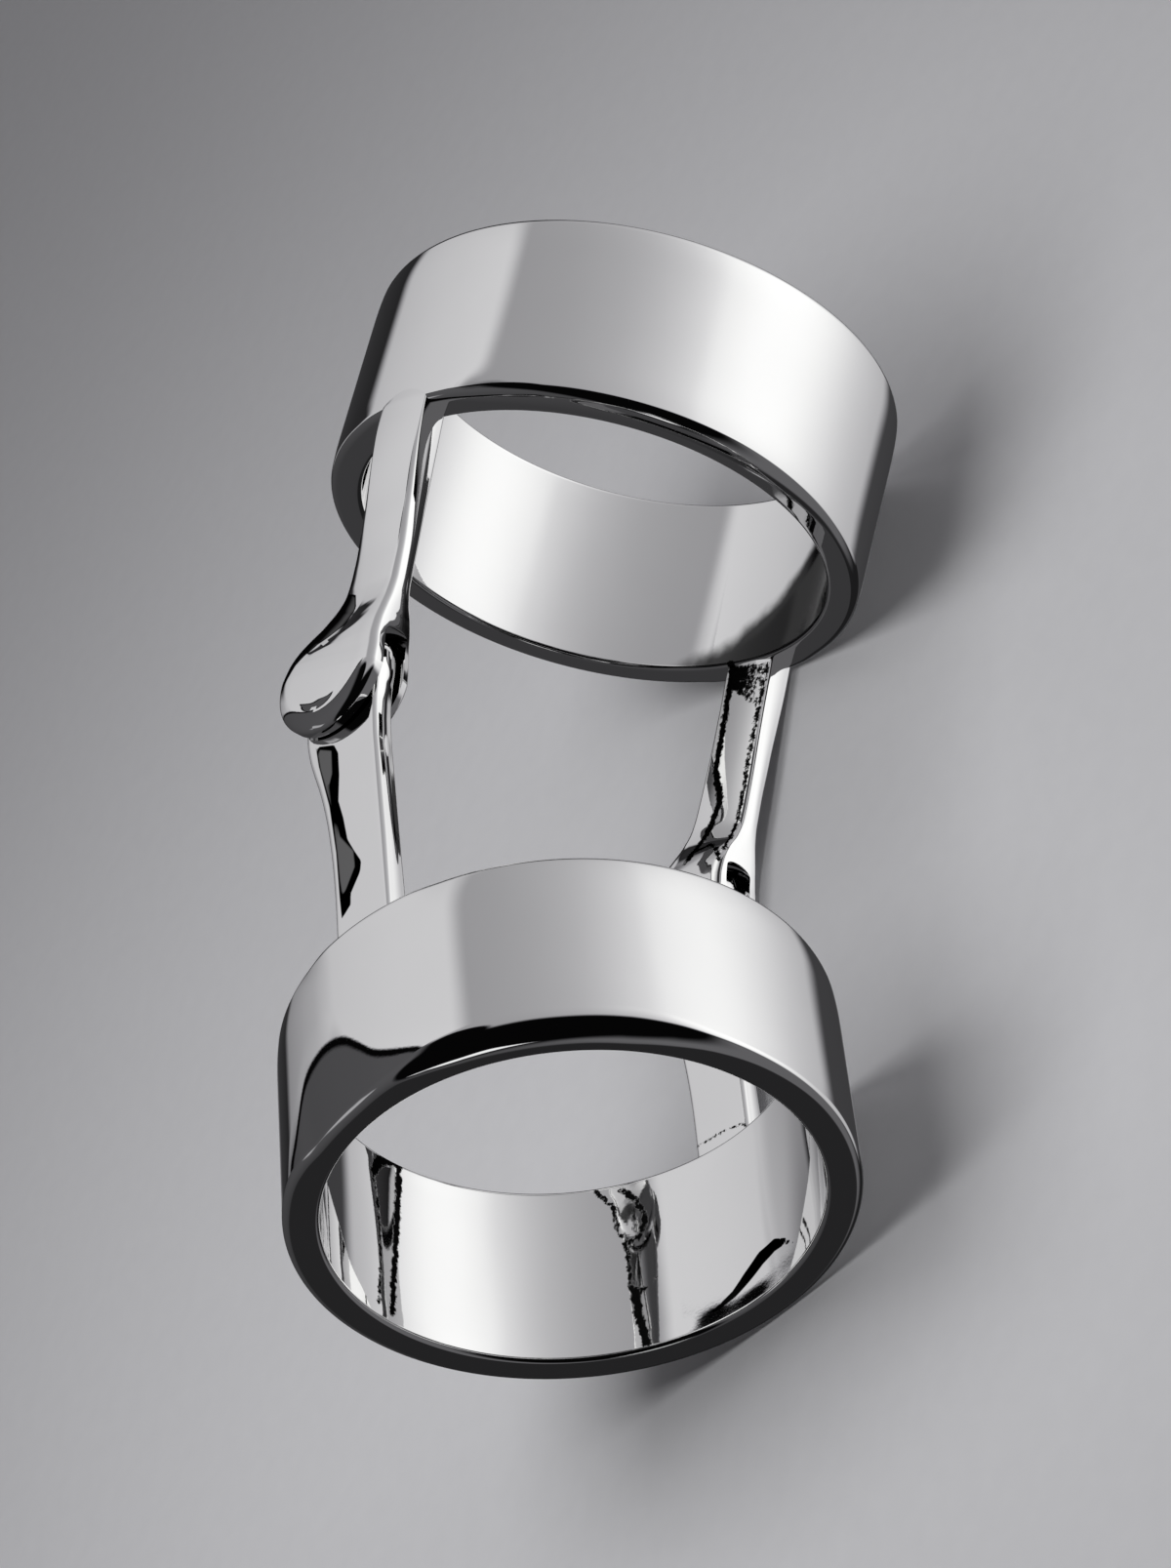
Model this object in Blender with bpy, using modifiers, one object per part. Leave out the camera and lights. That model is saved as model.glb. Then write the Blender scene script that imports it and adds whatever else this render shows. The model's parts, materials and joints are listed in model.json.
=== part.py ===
"""A hinged knuckle ring: two plain silver bands joined at the sides by a pair of hinges.

The lower band carries two flat arms that end in round tongues. The upper band carries two
arms that swell into forks. Each tongue sits in the slot of a fork and turns on a hidden pin.

The ring is drawn upright in the hinge frame, in millimetres: the hinge axis is X, the lower
band's finger axis is Z with the upper band above, and -Y is the side that the bands bend to.
An empty then lays it on its right side, as it rests on a table, with the hinge axis upright.
"""

import math

import bmesh
import bpy
from mathutils import Matrix

MM = 0.001

# The lower band, below the hinge, and the upper band, above it.
LOWER_OUTER_RADIUS = 10.5
LOWER_INNER_RADIUS = 9.15
LOWER_WIDTH = 8.0
LOWER_CENTRE_Y = -0.27
LOWER_CENTRE_Z = -16.65
UPPER_OUTER_RADIUS = 11.1
UPPER_INNER_RADIUS = 9.73
UPPER_WIDTH = 8.4
UPPER_CENTRE_Y = 0.32
UPPER_CENTRE_Z = 16.02
OUTER_EDGE = 0.30
INNER_EDGE = 0.18
BAND_STEPS = 88

# How far the upper band is bent at the hinge, from straight.
BEND = 23.8

# The hinge: a tongue in a fork, on a pin that ends inside both ears.
EAR_END = 2.72
TONGUE_END = 2.05
SLOT_INNER = 9.30
SLOT_OUTER = 10.55
SLOT_ROOF_RADIUS = 3.60
SLOT_ROOF_CENTRE_Z = -1.27
PIN_RADIUS = 0.65
PIN_INNER = 9.08
PIN_OUTER = 10.85
PIN_HOLE_RADIUS = 0.67
PIN_HOLE_END_GAP = 0.04
TONGUE_BORE_RADIUS = 0.72
TONGUE_BORE_INNER = 9.0
TONGUE_BORE_OUTER = 11.0

# How finely the round pieces and the arms' rounded edges and ends are divided.
PIN_SIDES = 20
SLOT_SIDES = 64
EDGE_STEPS = 3
END_STEPS = 14
END_ANGLE = 87.0

# How the ring lies: on its right side, turned so that its length runs along X.
HEADING = 10.866
ROLL = 7.820
PITCH = -2.429
REST_X = -0.034
REST_Y = 3.304
REST_Z = 11.382

# The upper arm's side outline: height above the hinge, front edge and back edge. The last
# row is the widest line of the ear, and a round end of height EAR_END closes it below.
FORK_OUTLINE = [
    # z, front, back
    (13.00, -0.88, 1.60),
    (11.80, -0.96, 1.63),
    (10.00, -1.14, 1.50),
    (8.00, -1.36, 1.37),
    (6.00, -1.60, 1.28),
    (4.60, -1.75, 1.30),
    (3.60, -1.85, 1.42),
    (2.90, -1.92, 1.64),
    (2.30, -1.98, 1.90),
    (1.70, -2.05, 2.24),
    (1.10, -2.16, 2.56),
    (0.40, -2.36, 2.78),
    (-0.25, -2.50, 2.85),
]
# Its section across the finger: inner face and outer face, measured from the ring's middle.
FORK_FACES = [
    # z, inner, outer
    (13.00, 9.90, 11.00),
    (11.80, 9.86, 11.00),
    (9.00, 9.78, 10.90),
    (7.00, 9.74, 10.80),
    (5.00, 9.70, 10.70),
    (3.90, 9.66, 10.70),
    (3.10, 9.50, 10.78),
    (2.40, 9.18, 10.94),
    (1.70, 8.98, 11.10),
    (0.80, 8.86, 11.22),
    (-0.50, 8.80, 11.27),
    (-2.97, 8.82, 11.24),
]
# Its rounded edges: how far in and how deep the rounding goes, on the outer and inner face,
# and how far the inner side is drawn in at its front and back, as the inner ear is smaller.
FORK_EDGES = [
    # z, outer inset, outer depth, inner inset, inner depth, front in, back in
    (13.00, 0.28, 0.22, 0.22, 0.22, 0.00, 0.00),
    (6.00, 0.30, 0.24, 0.24, 0.24, 0.00, 0.00),
    (3.60, 0.45, 0.28, 0.30, 0.24, 0.05, 0.12),
    (2.00, 0.75, 0.34, 0.45, 0.24, 0.20, 0.62),
    (0.50, 0.95, 0.40, 0.60, 0.26, 0.24, 0.70),
    (-2.97, 0.95, 0.40, 0.60, 0.26, 0.20, 0.20),
]

# The lower arm, read the same way, from inside the lower band up to its round tongue.
TONGUE_OUTLINE = [
    # z, front, back
    (-13.80, -1.60, 1.02),
    (-12.65, -1.63, 1.07),
    (-11.40, -1.62, 1.08),
    (-9.40, -1.60, 1.14),
    (-7.40, -1.56, 1.28),
    (-6.30, -1.54, 1.42),
    (-5.20, -1.52, 1.62),
    (-4.20, -1.50, 1.86),
    (-3.30, -1.52, 2.05),
    (-2.40, -1.58, 2.14),
    (-1.50, -1.72, 2.12),
    (-0.70, -1.90, 2.07),
    (0.00, -1.97, 2.05),
]
TONGUE_FACES = [
    # z, inner, outer
    (-13.80, 9.36, 10.38),
    (-12.65, 9.36, 10.40),
    (-9.00, 9.42, 10.42),
    (-5.00, 9.44, 10.44),
    (2.05, 9.45, 10.44),
]
TONGUE_EDGES = [
    # z, outer inset, outer depth, inner inset, inner depth, front in, back in
    (-13.80, 0.34, 0.24, 0.22, 0.20, 0.00, 0.00),
    (2.05, 0.30, 0.22, 0.22, 0.20, 0.00, 0.00),
]


def clear_scene():
    for item in list(bpy.data.objects):
        bpy.data.objects.remove(item, do_unlink=True)
    for group in list(bpy.data.collections):
        bpy.data.collections.remove(group)


def new_collection(name):
    group = bpy.data.collections.new(name)
    bpy.context.scene.collection.children.link(group)
    return group


def silver(name, colour, roughness):
    material = bpy.data.materials.new(name)
    material.use_nodes = True
    shader = material.node_tree.nodes["Principled BSDF"]
    shader.inputs["Base Color"].default_value = (*colour, 1.0)
    shader.inputs["Metallic"].default_value = 1.0
    shader.inputs["Roughness"].default_value = roughness
    material.diffuse_color = (*colour, 1.0)
    return material


def read_table(rows, z, column):
    """A table's column at height z, along a smooth curve through its rows."""
    rows = sorted(rows)
    z = min(max(z, rows[0][0]), rows[-1][0])
    i = 0
    while i < len(rows) - 2 and z > rows[i + 1][0]:
        i += 1

    def slope(k):
        if k == 0 or k == len(rows) - 1:
            a, b = (0, 1) if k == 0 else (len(rows) - 2, len(rows) - 1)
            return (rows[b][column] - rows[a][column]) / (rows[b][0] - rows[a][0])
        before = (rows[k][column] - rows[k - 1][column]) / (rows[k][0] - rows[k - 1][0])
        after = (rows[k + 1][column] - rows[k][column]) / (rows[k + 1][0] - rows[k][0])
        if before * after <= 0.0:
            return 0.0
        return 2.0 * before * after / (before + after)

    z0, z1 = rows[i][0], rows[i + 1][0]
    span = z1 - z0
    t = (z - z0) / span
    a = rows[i][column]
    b = rows[i + 1][column]
    ta = slope(i) * span
    tb = slope(i + 1) * span
    t2 = t * t
    t3 = t2 * t
    return (
        (2 * t3 - 3 * t2 + 1) * a
        + (t3 - 2 * t2 + t) * ta
        + (3 * t2 - 2 * t3) * b
        + (t3 - t2) * tb
    )


def mesh_object(name, verts, edges, faces, group, material):
    mesh = bpy.data.meshes.new(name)
    mesh.from_pydata([(x * MM, y * MM, z * MM) for x, y, z in verts], edges, faces)
    item = bpy.data.objects.new(name, mesh)
    group.objects.link(item)
    if material:
        mesh.materials.append(material)
    return item


def make_cutter(item):
    item.hide_render = True
    item.display_type = "WIRE"
    return item


def boolean(item, other, operation):
    step = item.modifiers.new(other.name, "BOOLEAN")
    step.operation = operation
    step.solver = "EXACT"
    step.object = other


def mirror_sides(item):
    step = item.modifiers.new("both_sides", "MIRROR")
    step.use_axis = (True, False, False)
    step.use_mirror_merge = False
    step.merge_threshold = 0.00001


def corner(radius, z, edge, start, count):
    """Points of one rounded corner about (radius, z), a quarter turn clockwise."""
    points = []
    for k in range(count + 1):
        a = math.radians(start - 90.0 * k / count)
        points.append((radius + edge * math.cos(a), z + edge * math.sin(a)))
    return points


def band(name, outer, inner, width, group, material):
    """A plain band turned about Z, with softly rounded rims."""
    top = width / 2
    profile = corner(outer - OUTER_EDGE, top - OUTER_EDGE, OUTER_EDGE, 90.0, 4)
    profile += corner(outer - OUTER_EDGE, -top + OUTER_EDGE, OUTER_EDGE, 0.0, 4)
    profile += corner(inner + INNER_EDGE, -top + INNER_EDGE, INNER_EDGE, -90.0, 3)
    profile += corner(inner + INNER_EDGE, top - INNER_EDGE, INNER_EDGE, 180.0, 3)
    verts = [(r, 0.0, z) for r, z in profile]
    count = len(verts)
    edges = [(k, (k + 1) % count) for k in range(count)]
    item = mesh_object(name, verts, edges, [], group, material)
    turn = item.modifiers.new("turn", "SCREW")
    turn.axis = "Z"
    turn.angle = math.radians(360.0)
    turn.steps = BAND_STEPS
    turn.render_steps = BAND_STEPS
    turn.use_merge_vertices = True
    turn.merge_threshold = 0.00001
    turn.use_smooth_shade = True
    return item


def outline_points(outline, heights, end_height):
    """Front and back edges of a side outline, then its round end past the last row."""
    z_end, front_end, back_end = outline[-1]
    fronts = [(read_table(outline, z, 1), z) for z in heights]
    backs = [(read_table(outline, z, 2), z) for z in heights]
    away = 1.0 if z_end > outline[0][0] else -1.0
    for k in range(END_STEPS):
        a = math.radians(END_ANGLE * k / (END_STEPS - 1))
        z = z_end + away * end_height * math.sin(a)
        fronts.append((front_end * math.cos(a), z))
        backs.append((back_end * math.cos(a), z))
    return fronts, backs


def inward(points, k, side):
    """Unit vector that points into the outline at its k-th point."""
    a = points[max(k - 1, 0)]
    b = points[min(k + 1, len(points) - 1)]
    dy, dz = b[0] - a[0], b[1] - a[1]
    length = math.hypot(dy, dz)
    ny, nz = -dz / length, dy / length
    if ny * side < 0.0:
        ny, nz = -ny, -nz
    return ny, nz


def plate(name, fronts, backs, faces, edges, group):
    """A flat arm: sections of an outline with rounded edges, laid one after the other."""
    rings = []
    for k in range(len(fronts)):
        ring = []
        for points, side in ((fronts, 1.0), (backs, -1.0)):
            y, z = points[k]
            ny, nz = inward(points, k, side)
            outer_face = read_table(faces, z, 2)
            inner_face = read_table(faces, z, 1)
            outer_in = read_table(edges, z, 1)
            outer_deep = read_table(edges, z, 2)
            inner_in = read_table(edges, z, 3)
            inner_deep = read_table(edges, z, 4)
            drawn_in = read_table(edges, z, 5 if side > 0.0 else 6)
            half = []
            for j in range(EDGE_STEPS + 1):
                a = math.radians(90.0 * j / EDGE_STEPS)
                inset = outer_in * (1.0 - math.sin(a))
                drop = outer_deep * (1.0 - math.cos(a))
                half.append((outer_face - drop, y + ny * inset, z + nz * inset))
            for j in range(EDGE_STEPS, -1, -1):
                a = math.radians(90.0 * j / EDGE_STEPS)
                inset = drawn_in + inner_in * (1.0 - math.sin(a))
                drop = inner_deep * (1.0 - math.cos(a))
                half.append((inner_face + drop, y + ny * inset, z + nz * inset))
            ring += half if side > 0.0 else half[::-1]
        rings.append(ring)
    verts = [point for ring in rings for point in ring]
    width = len(rings[0])
    half = width // 2
    quads = []
    for k in range(len(rings) - 1):
        for j in range(width):
            n = (j + 1) % width
            quads.append((k * width + j, k * width + n, (k + 1) * width + n, (k + 1) * width + j))
    quads.append(tuple(range(width)))
    base = (len(rings) - 1) * width
    for j in range(half - 1):
        quads.append((base + j, base + j + 1, base + width - 2 - j, base + width - 1 - j))
    item = mesh_object(name, verts, [], quads, group, None)
    work = bmesh.new()
    work.from_mesh(item.data)
    bmesh.ops.recalc_face_normals(work, faces=work.faces)
    work.to_mesh(item.data)
    work.free()
    item.data.shade_smooth()
    mirror_sides(item)
    return make_cutter(item)


def rod(name, radius, inner, outer, z, sides, group, material):
    """A cylinder along X between two distances from the middle."""
    bpy.ops.mesh.primitive_cylinder_add(
        vertices=sides,
        radius=radius * MM,
        depth=(outer - inner) * MM,
    )
    item = bpy.context.object
    item.name = name
    item.data.name = name
    for group_now in list(item.users_collection):
        group_now.objects.unlink(item)
    group.objects.link(item)
    turn = Matrix.Rotation(math.radians(90.0), 4, "Y")
    place = Matrix.Translation(((outer + inner) / 2 * MM, 0.0, z * MM))
    item.data.transform(place @ turn)
    item.data.shade_smooth()
    item.data.set_sharp_from_angle(angle=math.radians(40.0))
    if material:
        item.data.materials.append(material)
    return item


clear_scene()
parts = new_collection("hinged_knuckle_ring")
cutters = new_collection("cutters")

band_silver = silver("polished_silver", (0.93, 0.93, 0.92), 0.06)
pin_silver = silver("pin_silver", (0.82, 0.82, 0.81), 0.20)

rest = bpy.data.objects.new("ring_at_rest", None)
parts.objects.link(rest)
rest.matrix_world = (
    Matrix.Translation((REST_X * MM, REST_Y * MM, REST_Z * MM))
    @ Matrix.Rotation(math.radians(HEADING), 4, "Z")
    @ Matrix.Rotation(math.radians(ROLL), 4, "X")
    @ Matrix.Rotation(math.radians(90.0 + PITCH), 4, "Y")
)
bend = bpy.data.objects.new("hinge_bend", None)
parts.objects.link(bend)
bend.parent = rest
bend.rotation_euler = (math.radians(BEND), 0.0, 0.0)

# The lower band, with its two arms and the bores in their tongues.
lower = band(
    "lower_band",
    LOWER_OUTER_RADIUS,
    LOWER_INNER_RADIUS,
    LOWER_WIDTH,
    parts,
    band_silver,
)
lower_heights = [-13.8, -13.3, -12.9, -12.2, -11.1, -10.0, -9.0, -8.0, -7.0, -6.2, -5.4]
lower_heights += [-4.8, -4.2, -3.6, -3.0, -2.4, -1.9, -1.5, -1.1, -0.7, -0.3]
fronts, backs = outline_points(TONGUE_OUTLINE, lower_heights, TONGUE_END)
lower_arms = plate("lower_arms", fronts, backs, TONGUE_FACES, TONGUE_EDGES, cutters)
bore = rod(
    "tongue_bore",
    TONGUE_BORE_RADIUS,
    TONGUE_BORE_INNER,
    TONGUE_BORE_OUTER,
    0.0,
    PIN_SIDES,
    cutters,
    None,
)
mirror_sides(bore)
make_cutter(bore)

# The band is turned about its own centre, so its object sits there.
lower.parent = rest
lower.location = (0.0, LOWER_CENTRE_Y * MM, LOWER_CENTRE_Z * MM)
lower_arms.parent = rest
bore.parent = rest
boolean(lower, lower_arms, "UNION")
boolean(lower, bore, "DIFFERENCE")

# The upper band, with its two forks, their slots and the blind holes for the pins.
upper = band(
    "upper_band",
    UPPER_OUTER_RADIUS,
    UPPER_INNER_RADIUS,
    UPPER_WIDTH,
    parts,
    band_silver,
)
upper_heights = [13.0, 12.4, 11.8, 11.0, 10.0, 9.0, 8.0, 7.0, 6.2, 5.5, 4.9, 4.4, 4.0]
upper_heights += [3.6, 3.3, 3.0, 2.7, 2.4, 2.1, 1.8, 1.5, 1.2, 0.9, 0.6, 0.3, 0.0]
fronts, backs = outline_points(FORK_OUTLINE, upper_heights, EAR_END)
upper_arms = plate("upper_arms", fronts, backs, FORK_FACES, FORK_EDGES, cutters)
slot = rod(
    "fork_slot",
    SLOT_ROOF_RADIUS,
    SLOT_INNER,
    SLOT_OUTER,
    SLOT_ROOF_CENTRE_Z,
    SLOT_SIDES,
    cutters,
    None,
)
mirror_sides(slot)
make_cutter(slot)
pin_hole = rod(
    "pin_hole",
    PIN_HOLE_RADIUS,
    PIN_INNER - PIN_HOLE_END_GAP,
    PIN_OUTER + PIN_HOLE_END_GAP,
    0.0,
    PIN_SIDES,
    cutters,
    None,
)
mirror_sides(pin_hole)
make_cutter(pin_hole)
upper.parent = bend
upper.location = (0.0, UPPER_CENTRE_Y * MM, UPPER_CENTRE_Z * MM)
for item in (upper_arms, slot, pin_hole):
    item.parent = bend
boolean(upper, upper_arms, "UNION")
boolean(upper, slot, "DIFFERENCE")
boolean(upper, pin_hole, "DIFFERENCE")

# The two hidden pins turn with the forks.
for name, inner, outer in (
    ("right_hinge_pin", PIN_INNER, PIN_OUTER),
    ("left_hinge_pin", -PIN_OUTER, -PIN_INNER),
):
    pin = rod(name, PIN_RADIUS, inner, outer, 0.0, PIN_SIDES, parts, pin_silver)
    pin.parent = bend

bpy.context.view_layer.update()
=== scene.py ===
# %% [markdown]
# # A hinged knuckle ring in polished silver
#
# This ring covers a whole finger joint. Two wide plain bands sit above and below the knuckle,
# and a fork hinge on each side lets them bend with the finger. It has no stone and no pattern,
# so everything that the eye reads is form and reflection: the true curve of a band, the crisp
# turn of a rim, and the pebble shape of a hinge ear.
#
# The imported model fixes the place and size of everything. It is loaded first, and each surface
# below is then laid over the solid that it stands for.

# %% Load the fixed frame
import json
import math

import bmesh
import bpy
import numpy as np
from mathutils import Matrix, Vector


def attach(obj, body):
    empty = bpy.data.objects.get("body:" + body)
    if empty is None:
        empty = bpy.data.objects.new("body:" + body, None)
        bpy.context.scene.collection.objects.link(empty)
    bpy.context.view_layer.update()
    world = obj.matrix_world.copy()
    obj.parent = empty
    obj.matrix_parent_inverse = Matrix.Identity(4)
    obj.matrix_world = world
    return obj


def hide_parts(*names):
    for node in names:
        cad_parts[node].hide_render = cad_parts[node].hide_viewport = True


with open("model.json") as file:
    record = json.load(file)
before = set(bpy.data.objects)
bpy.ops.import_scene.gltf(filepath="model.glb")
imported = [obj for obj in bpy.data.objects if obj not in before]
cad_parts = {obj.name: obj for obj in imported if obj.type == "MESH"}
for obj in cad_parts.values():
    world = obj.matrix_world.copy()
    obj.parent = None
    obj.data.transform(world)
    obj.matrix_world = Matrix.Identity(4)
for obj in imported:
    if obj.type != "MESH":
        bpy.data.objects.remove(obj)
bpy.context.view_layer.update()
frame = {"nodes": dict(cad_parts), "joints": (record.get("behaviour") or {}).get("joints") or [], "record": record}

# %% [markdown]
# ## The ring's own frame
#
# A ring is easiest to draw upright: the hinge axis across, the finger upwards, and the side that
# the bands bend to in front. On the table it lies on its right side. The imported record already
# says how the two frames meet: the joint gives the hinge axis, and the flat rim of each band
# gives the finger's direction there, so nothing has to be typed in twice.

# %% The hinge frame and the bend
MM = 0.001


def unit(vector):
    """The same direction at length 1."""
    vector = np.asarray(vector, float)
    return vector / np.linalg.norm(vector)


joint = frame["joints"][0]
mounts = {mount["name"]: mount for mount in frame["record"]["mounts"]}
HINGE_AT = np.array(joint["pos_m"], float)
SIDE = unit(joint["axis"])
LOWER_FINGER = -unit(mounts["lower_rim"]["axis"])
UPPER_FINGER = unit(mounts["upper_rim"]["axis"])
BACK = unit(np.cross(LOWER_FINGER, SIDE))
RING_TO_ROW = np.stack([SIDE, BACK, np.cross(SIDE, BACK)], axis=1)
BEND = math.acos(float(LOWER_FINGER @ UPPER_FINGER))
BENT = np.array([
    [1.0, 0.0, 0.0],
    [0.0, math.cos(BEND), -math.sin(BEND)],
    [0.0, math.sin(BEND), math.cos(BEND)],
])


def to_row(points, bent):
    """Points of the ring's own frame, in millimetres, in the row's frame, in metres."""
    points = np.asarray(points, float)
    if bent:
        points = points @ BENT.T
    return points @ RING_TO_ROW.T * MM + HINGE_AT


print("bend at the hinge: %.2f degrees" % math.degrees(BEND))

# %% [markdown]
# ## From a grid of points to a skin
#
# Every surface here is a function of two parameters, evaluated as one numpy array of points.
# A band wraps round in both directions, like a tyre. An arm wraps round one way only and is
# closed by a fan at its root, which is buried in the band's wall, and by its own round tip.

# %% From a grid to an object
MERGE_DISTANCE = 2e-7


def grid_faces(rows, columns, wrap_rows):
    """Quads between neighbouring points of a grid whose columns always wrap round."""
    r = np.arange(rows if wrap_rows else rows - 1)[:, None]
    c = np.arange(columns)[None, :]
    down = (r + 1) % rows
    right = (c + 1) % columns
    corners = [r * columns + c, r * columns + right, down * columns + right, down * columns + c]
    return np.stack([np.broadcast_to(k, (len(r), columns)) for k in corners], -1).reshape(-1, 4)


def skin(name, points, bent, wrap_rows):
    """A closed mesh object from a grid of points, in the row's frame."""
    rows, columns = points.shape[:2]
    place = to_row(points.reshape(-1, 3), bent)
    faces = grid_faces(rows, columns, wrap_rows).tolist()
    if not wrap_rows:
        faces.append(list(range(columns)))
    mesh = bpy.data.meshes.new(name)
    mesh.from_pydata(place.tolist(), [], faces)
    work = bmesh.new()
    work.from_mesh(mesh)
    bmesh.ops.remove_doubles(work, verts=work.verts, dist=MERGE_DISTANCE)
    bmesh.ops.recalc_face_normals(work, faces=work.faces)
    work.to_mesh(mesh)
    work.free()
    mesh.shade_smooth()
    item = bpy.data.objects.new(name, mesh)
    bpy.context.scene.collection.objects.link(item)
    return item


def applied(item):
    """The object with its modifiers made real."""
    bpy.context.view_layer.update()
    graph = bpy.context.evaluated_depsgraph_get()
    mesh = bpy.data.meshes.new_from_object(item.evaluated_get(graph), depsgraph=graph)
    item.modifiers.clear()
    item.data = mesh
    return item


print("points nearer than %.1g mm are merged" % (MERGE_DISTANCE / MM))

# %% Joining parts into one piece
SHARP_ANGLE = 38.0


def one_piece(name, items):
    """Joins several objects at the origin into one with that name."""
    work = bmesh.new()
    for item in items:
        work.from_mesh(item.data)
    mesh = bpy.data.meshes.new(name)
    work.to_mesh(mesh)
    work.free()
    for item in items:
        bpy.data.objects.remove(item, do_unlink=True)
    piece = bpy.data.objects.new(name, mesh)
    bpy.context.scene.collection.objects.link(piece)
    mesh.shade_smooth()
    mesh.set_sharp_from_angle(angle=math.radians(SHARP_ANGLE))
    print("%s: %d faces" % (name, len(mesh.polygons)))
    return piece


# %% [markdown]
# ## Smooth curves through a few measured rows
#
# An arm's outline is a handful of measured widths, a row for each height. A monotone cubic runs
# through them without overshooting, so a straight stretch stays straight and a waist stays a
# waist. The slope at a row is the harmonic mean of the slopes on its two sides.

# %% Reading a table at any height
def smooth_column(rows, at, column):
    """A column of a table read at many heights at once, by a monotone cubic."""
    rows = np.array(sorted(rows), float)
    x = rows[:, 0]
    y = rows[:, column]
    secant = np.diff(y) / np.diff(x)
    slope = np.zeros(len(x))
    slope[0] = secant[0]
    slope[-1] = secant[-1]
    same = secant[:-1] * secant[1:] > 0.0
    total = np.where(same, secant[:-1] + secant[1:], 1.0)
    slope[1:-1] = np.where(same, 2.0 * secant[:-1] * secant[1:] / total, 0.0)
    at = np.clip(at, x[0], x[-1])
    i = np.clip(np.searchsorted(x, at) - 1, 0, len(x) - 2)
    span = x[i + 1] - x[i]
    t = (at - x[i]) / span
    t2 = t * t
    t3 = t2 * t
    return (
        (2.0 * t3 - 3.0 * t2 + 1.0) * y[i]
        + (t3 - 2.0 * t2 + t) * span * slope[i]
        + (3.0 * t2 - 2.0 * t3) * y[i + 1]
        + (t3 - t2) * span * slope[i + 1]
    )


def soft_step(x, low, high):
    """0 below low, 1 above high, and a smooth S between them."""
    t = np.clip((x - low) / (high - low), 0.0, 1.0)
    return t * t * (3.0 - 2.0 * t)


# %% [markdown]
# ## The two bands
#
# A plain band is its wall's section turned about the finger. The section is a long rectangle
# with softly broken corners: a wider turn on the outside, where the buff reaches, and a tight
# one inside. In front the buff has leaned on the outer corner of both lower rims and has made it
# much rounder, so its size there comes from a table. Silver that is polished by hand is never a
# perfect cylinder. Its wall falls off a little beside each rim, and waves of a few thousandths
# of a millimetre run over it, too small to see as shape, yet they make each reflected edge drift.
#
# The section's points lie closer together near the corners. The inner wall has more of them than
# its shape needs, because the painted reflections inside the bands are stored at its points.

# %% Sizes of the two bands, in millimetres
LOWER_OUTER_RADIUS = 10.5
LOWER_INNER_RADIUS = 9.15
LOWER_WIDTH = 8.0
LOWER_CENTRE = (0.0, -0.27, -16.65)
UPPER_OUTER_RADIUS = 11.1
UPPER_INNER_RADIUS = 9.73
UPPER_WIDTH = 8.4
UPPER_CENTRE = (0.0, 0.32, 16.02)
OUTER_EDGE = 0.30
INNER_EDGE = 0.18

for name, outer, inner in (
    ("lower", LOWER_OUTER_RADIUS, LOWER_INNER_RADIUS),
    ("upper", UPPER_OUTER_RADIUS, UPPER_INNER_RADIUS),
):
    print("%s band: wall %.2f mm, hole %.2f mm" % (name, outer - inner, 2.0 * inner))

# %% How round the outer corner of each lower rim is, by the angle round the finger
LOWER_CORNER = [
    # angle, how far in, how far up
    (0.0, 0.30, 0.30),
    (150.0, 0.30, 0.30),
    (184.0, 0.34, 0.36),
    (192.0, 0.62, 0.66),
    (200.0, 0.86, 0.90),
    (215.0, 0.95, 1.00),
    (232.0, 0.95, 1.00),
    (242.0, 0.80, 0.80),
    (252.0, 0.55, 0.50),
    (264.0, 0.38, 0.35),
    (282.0, 0.30, 0.30),
    (360.0, 0.30, 0.30),
]
UPPER_CORNER = [
    # angle, how far in, how far up
    (0.0, 0.30, 0.30),
    (184.0, 0.30, 0.30),
    (192.0, 0.42, 0.34),
    (202.0, 0.72, 0.45),
    (212.0, 0.92, 0.50),
    (238.0, 0.95, 0.52),
    (252.0, 0.85, 0.50),
    (264.0, 0.66, 0.45),
    (276.0, 0.48, 0.38),
    (290.0, 0.32, 0.30),
    (360.0, 0.30, 0.30),
]
print("most worn corners: %.2f and %.2f mm in" % (
    max(row[1] for row in LOWER_CORNER), max(row[1] for row in UPPER_CORNER),
))

# %% The section of a wall
BAND_STEPS = 480
LOWER_WALL_POINTS = 64
UPPER_WALL_POINTS = 40
INNER_POINTS = 34
RIM_POINTS = 3
OUTER_LOW_STEPS = 22
OUTER_HIGH_STEPS = 10
INNER_STEPS = 8


def arc(centre_r, centre_z, radius_r, radius_z, start, stop, count):
    """A quarter of an ellipse in the section, for each angle round the finger."""
    a = np.radians(np.linspace(start, stop, count))
    return np.stack(
        np.broadcast_arrays(centre_r + radius_r * np.cos(a), centre_z + radius_z * np.sin(a)), -1
    )


def straight(a, b, count):
    """Points strictly between two ends of a straight stretch, laid denser near both ends."""
    t = 0.5 - 0.5 * np.cos(np.pi * np.arange(1, count + 1) / (count + 1))
    return a[:, None] + (b - a)[:, None] * t[:, None]


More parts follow.
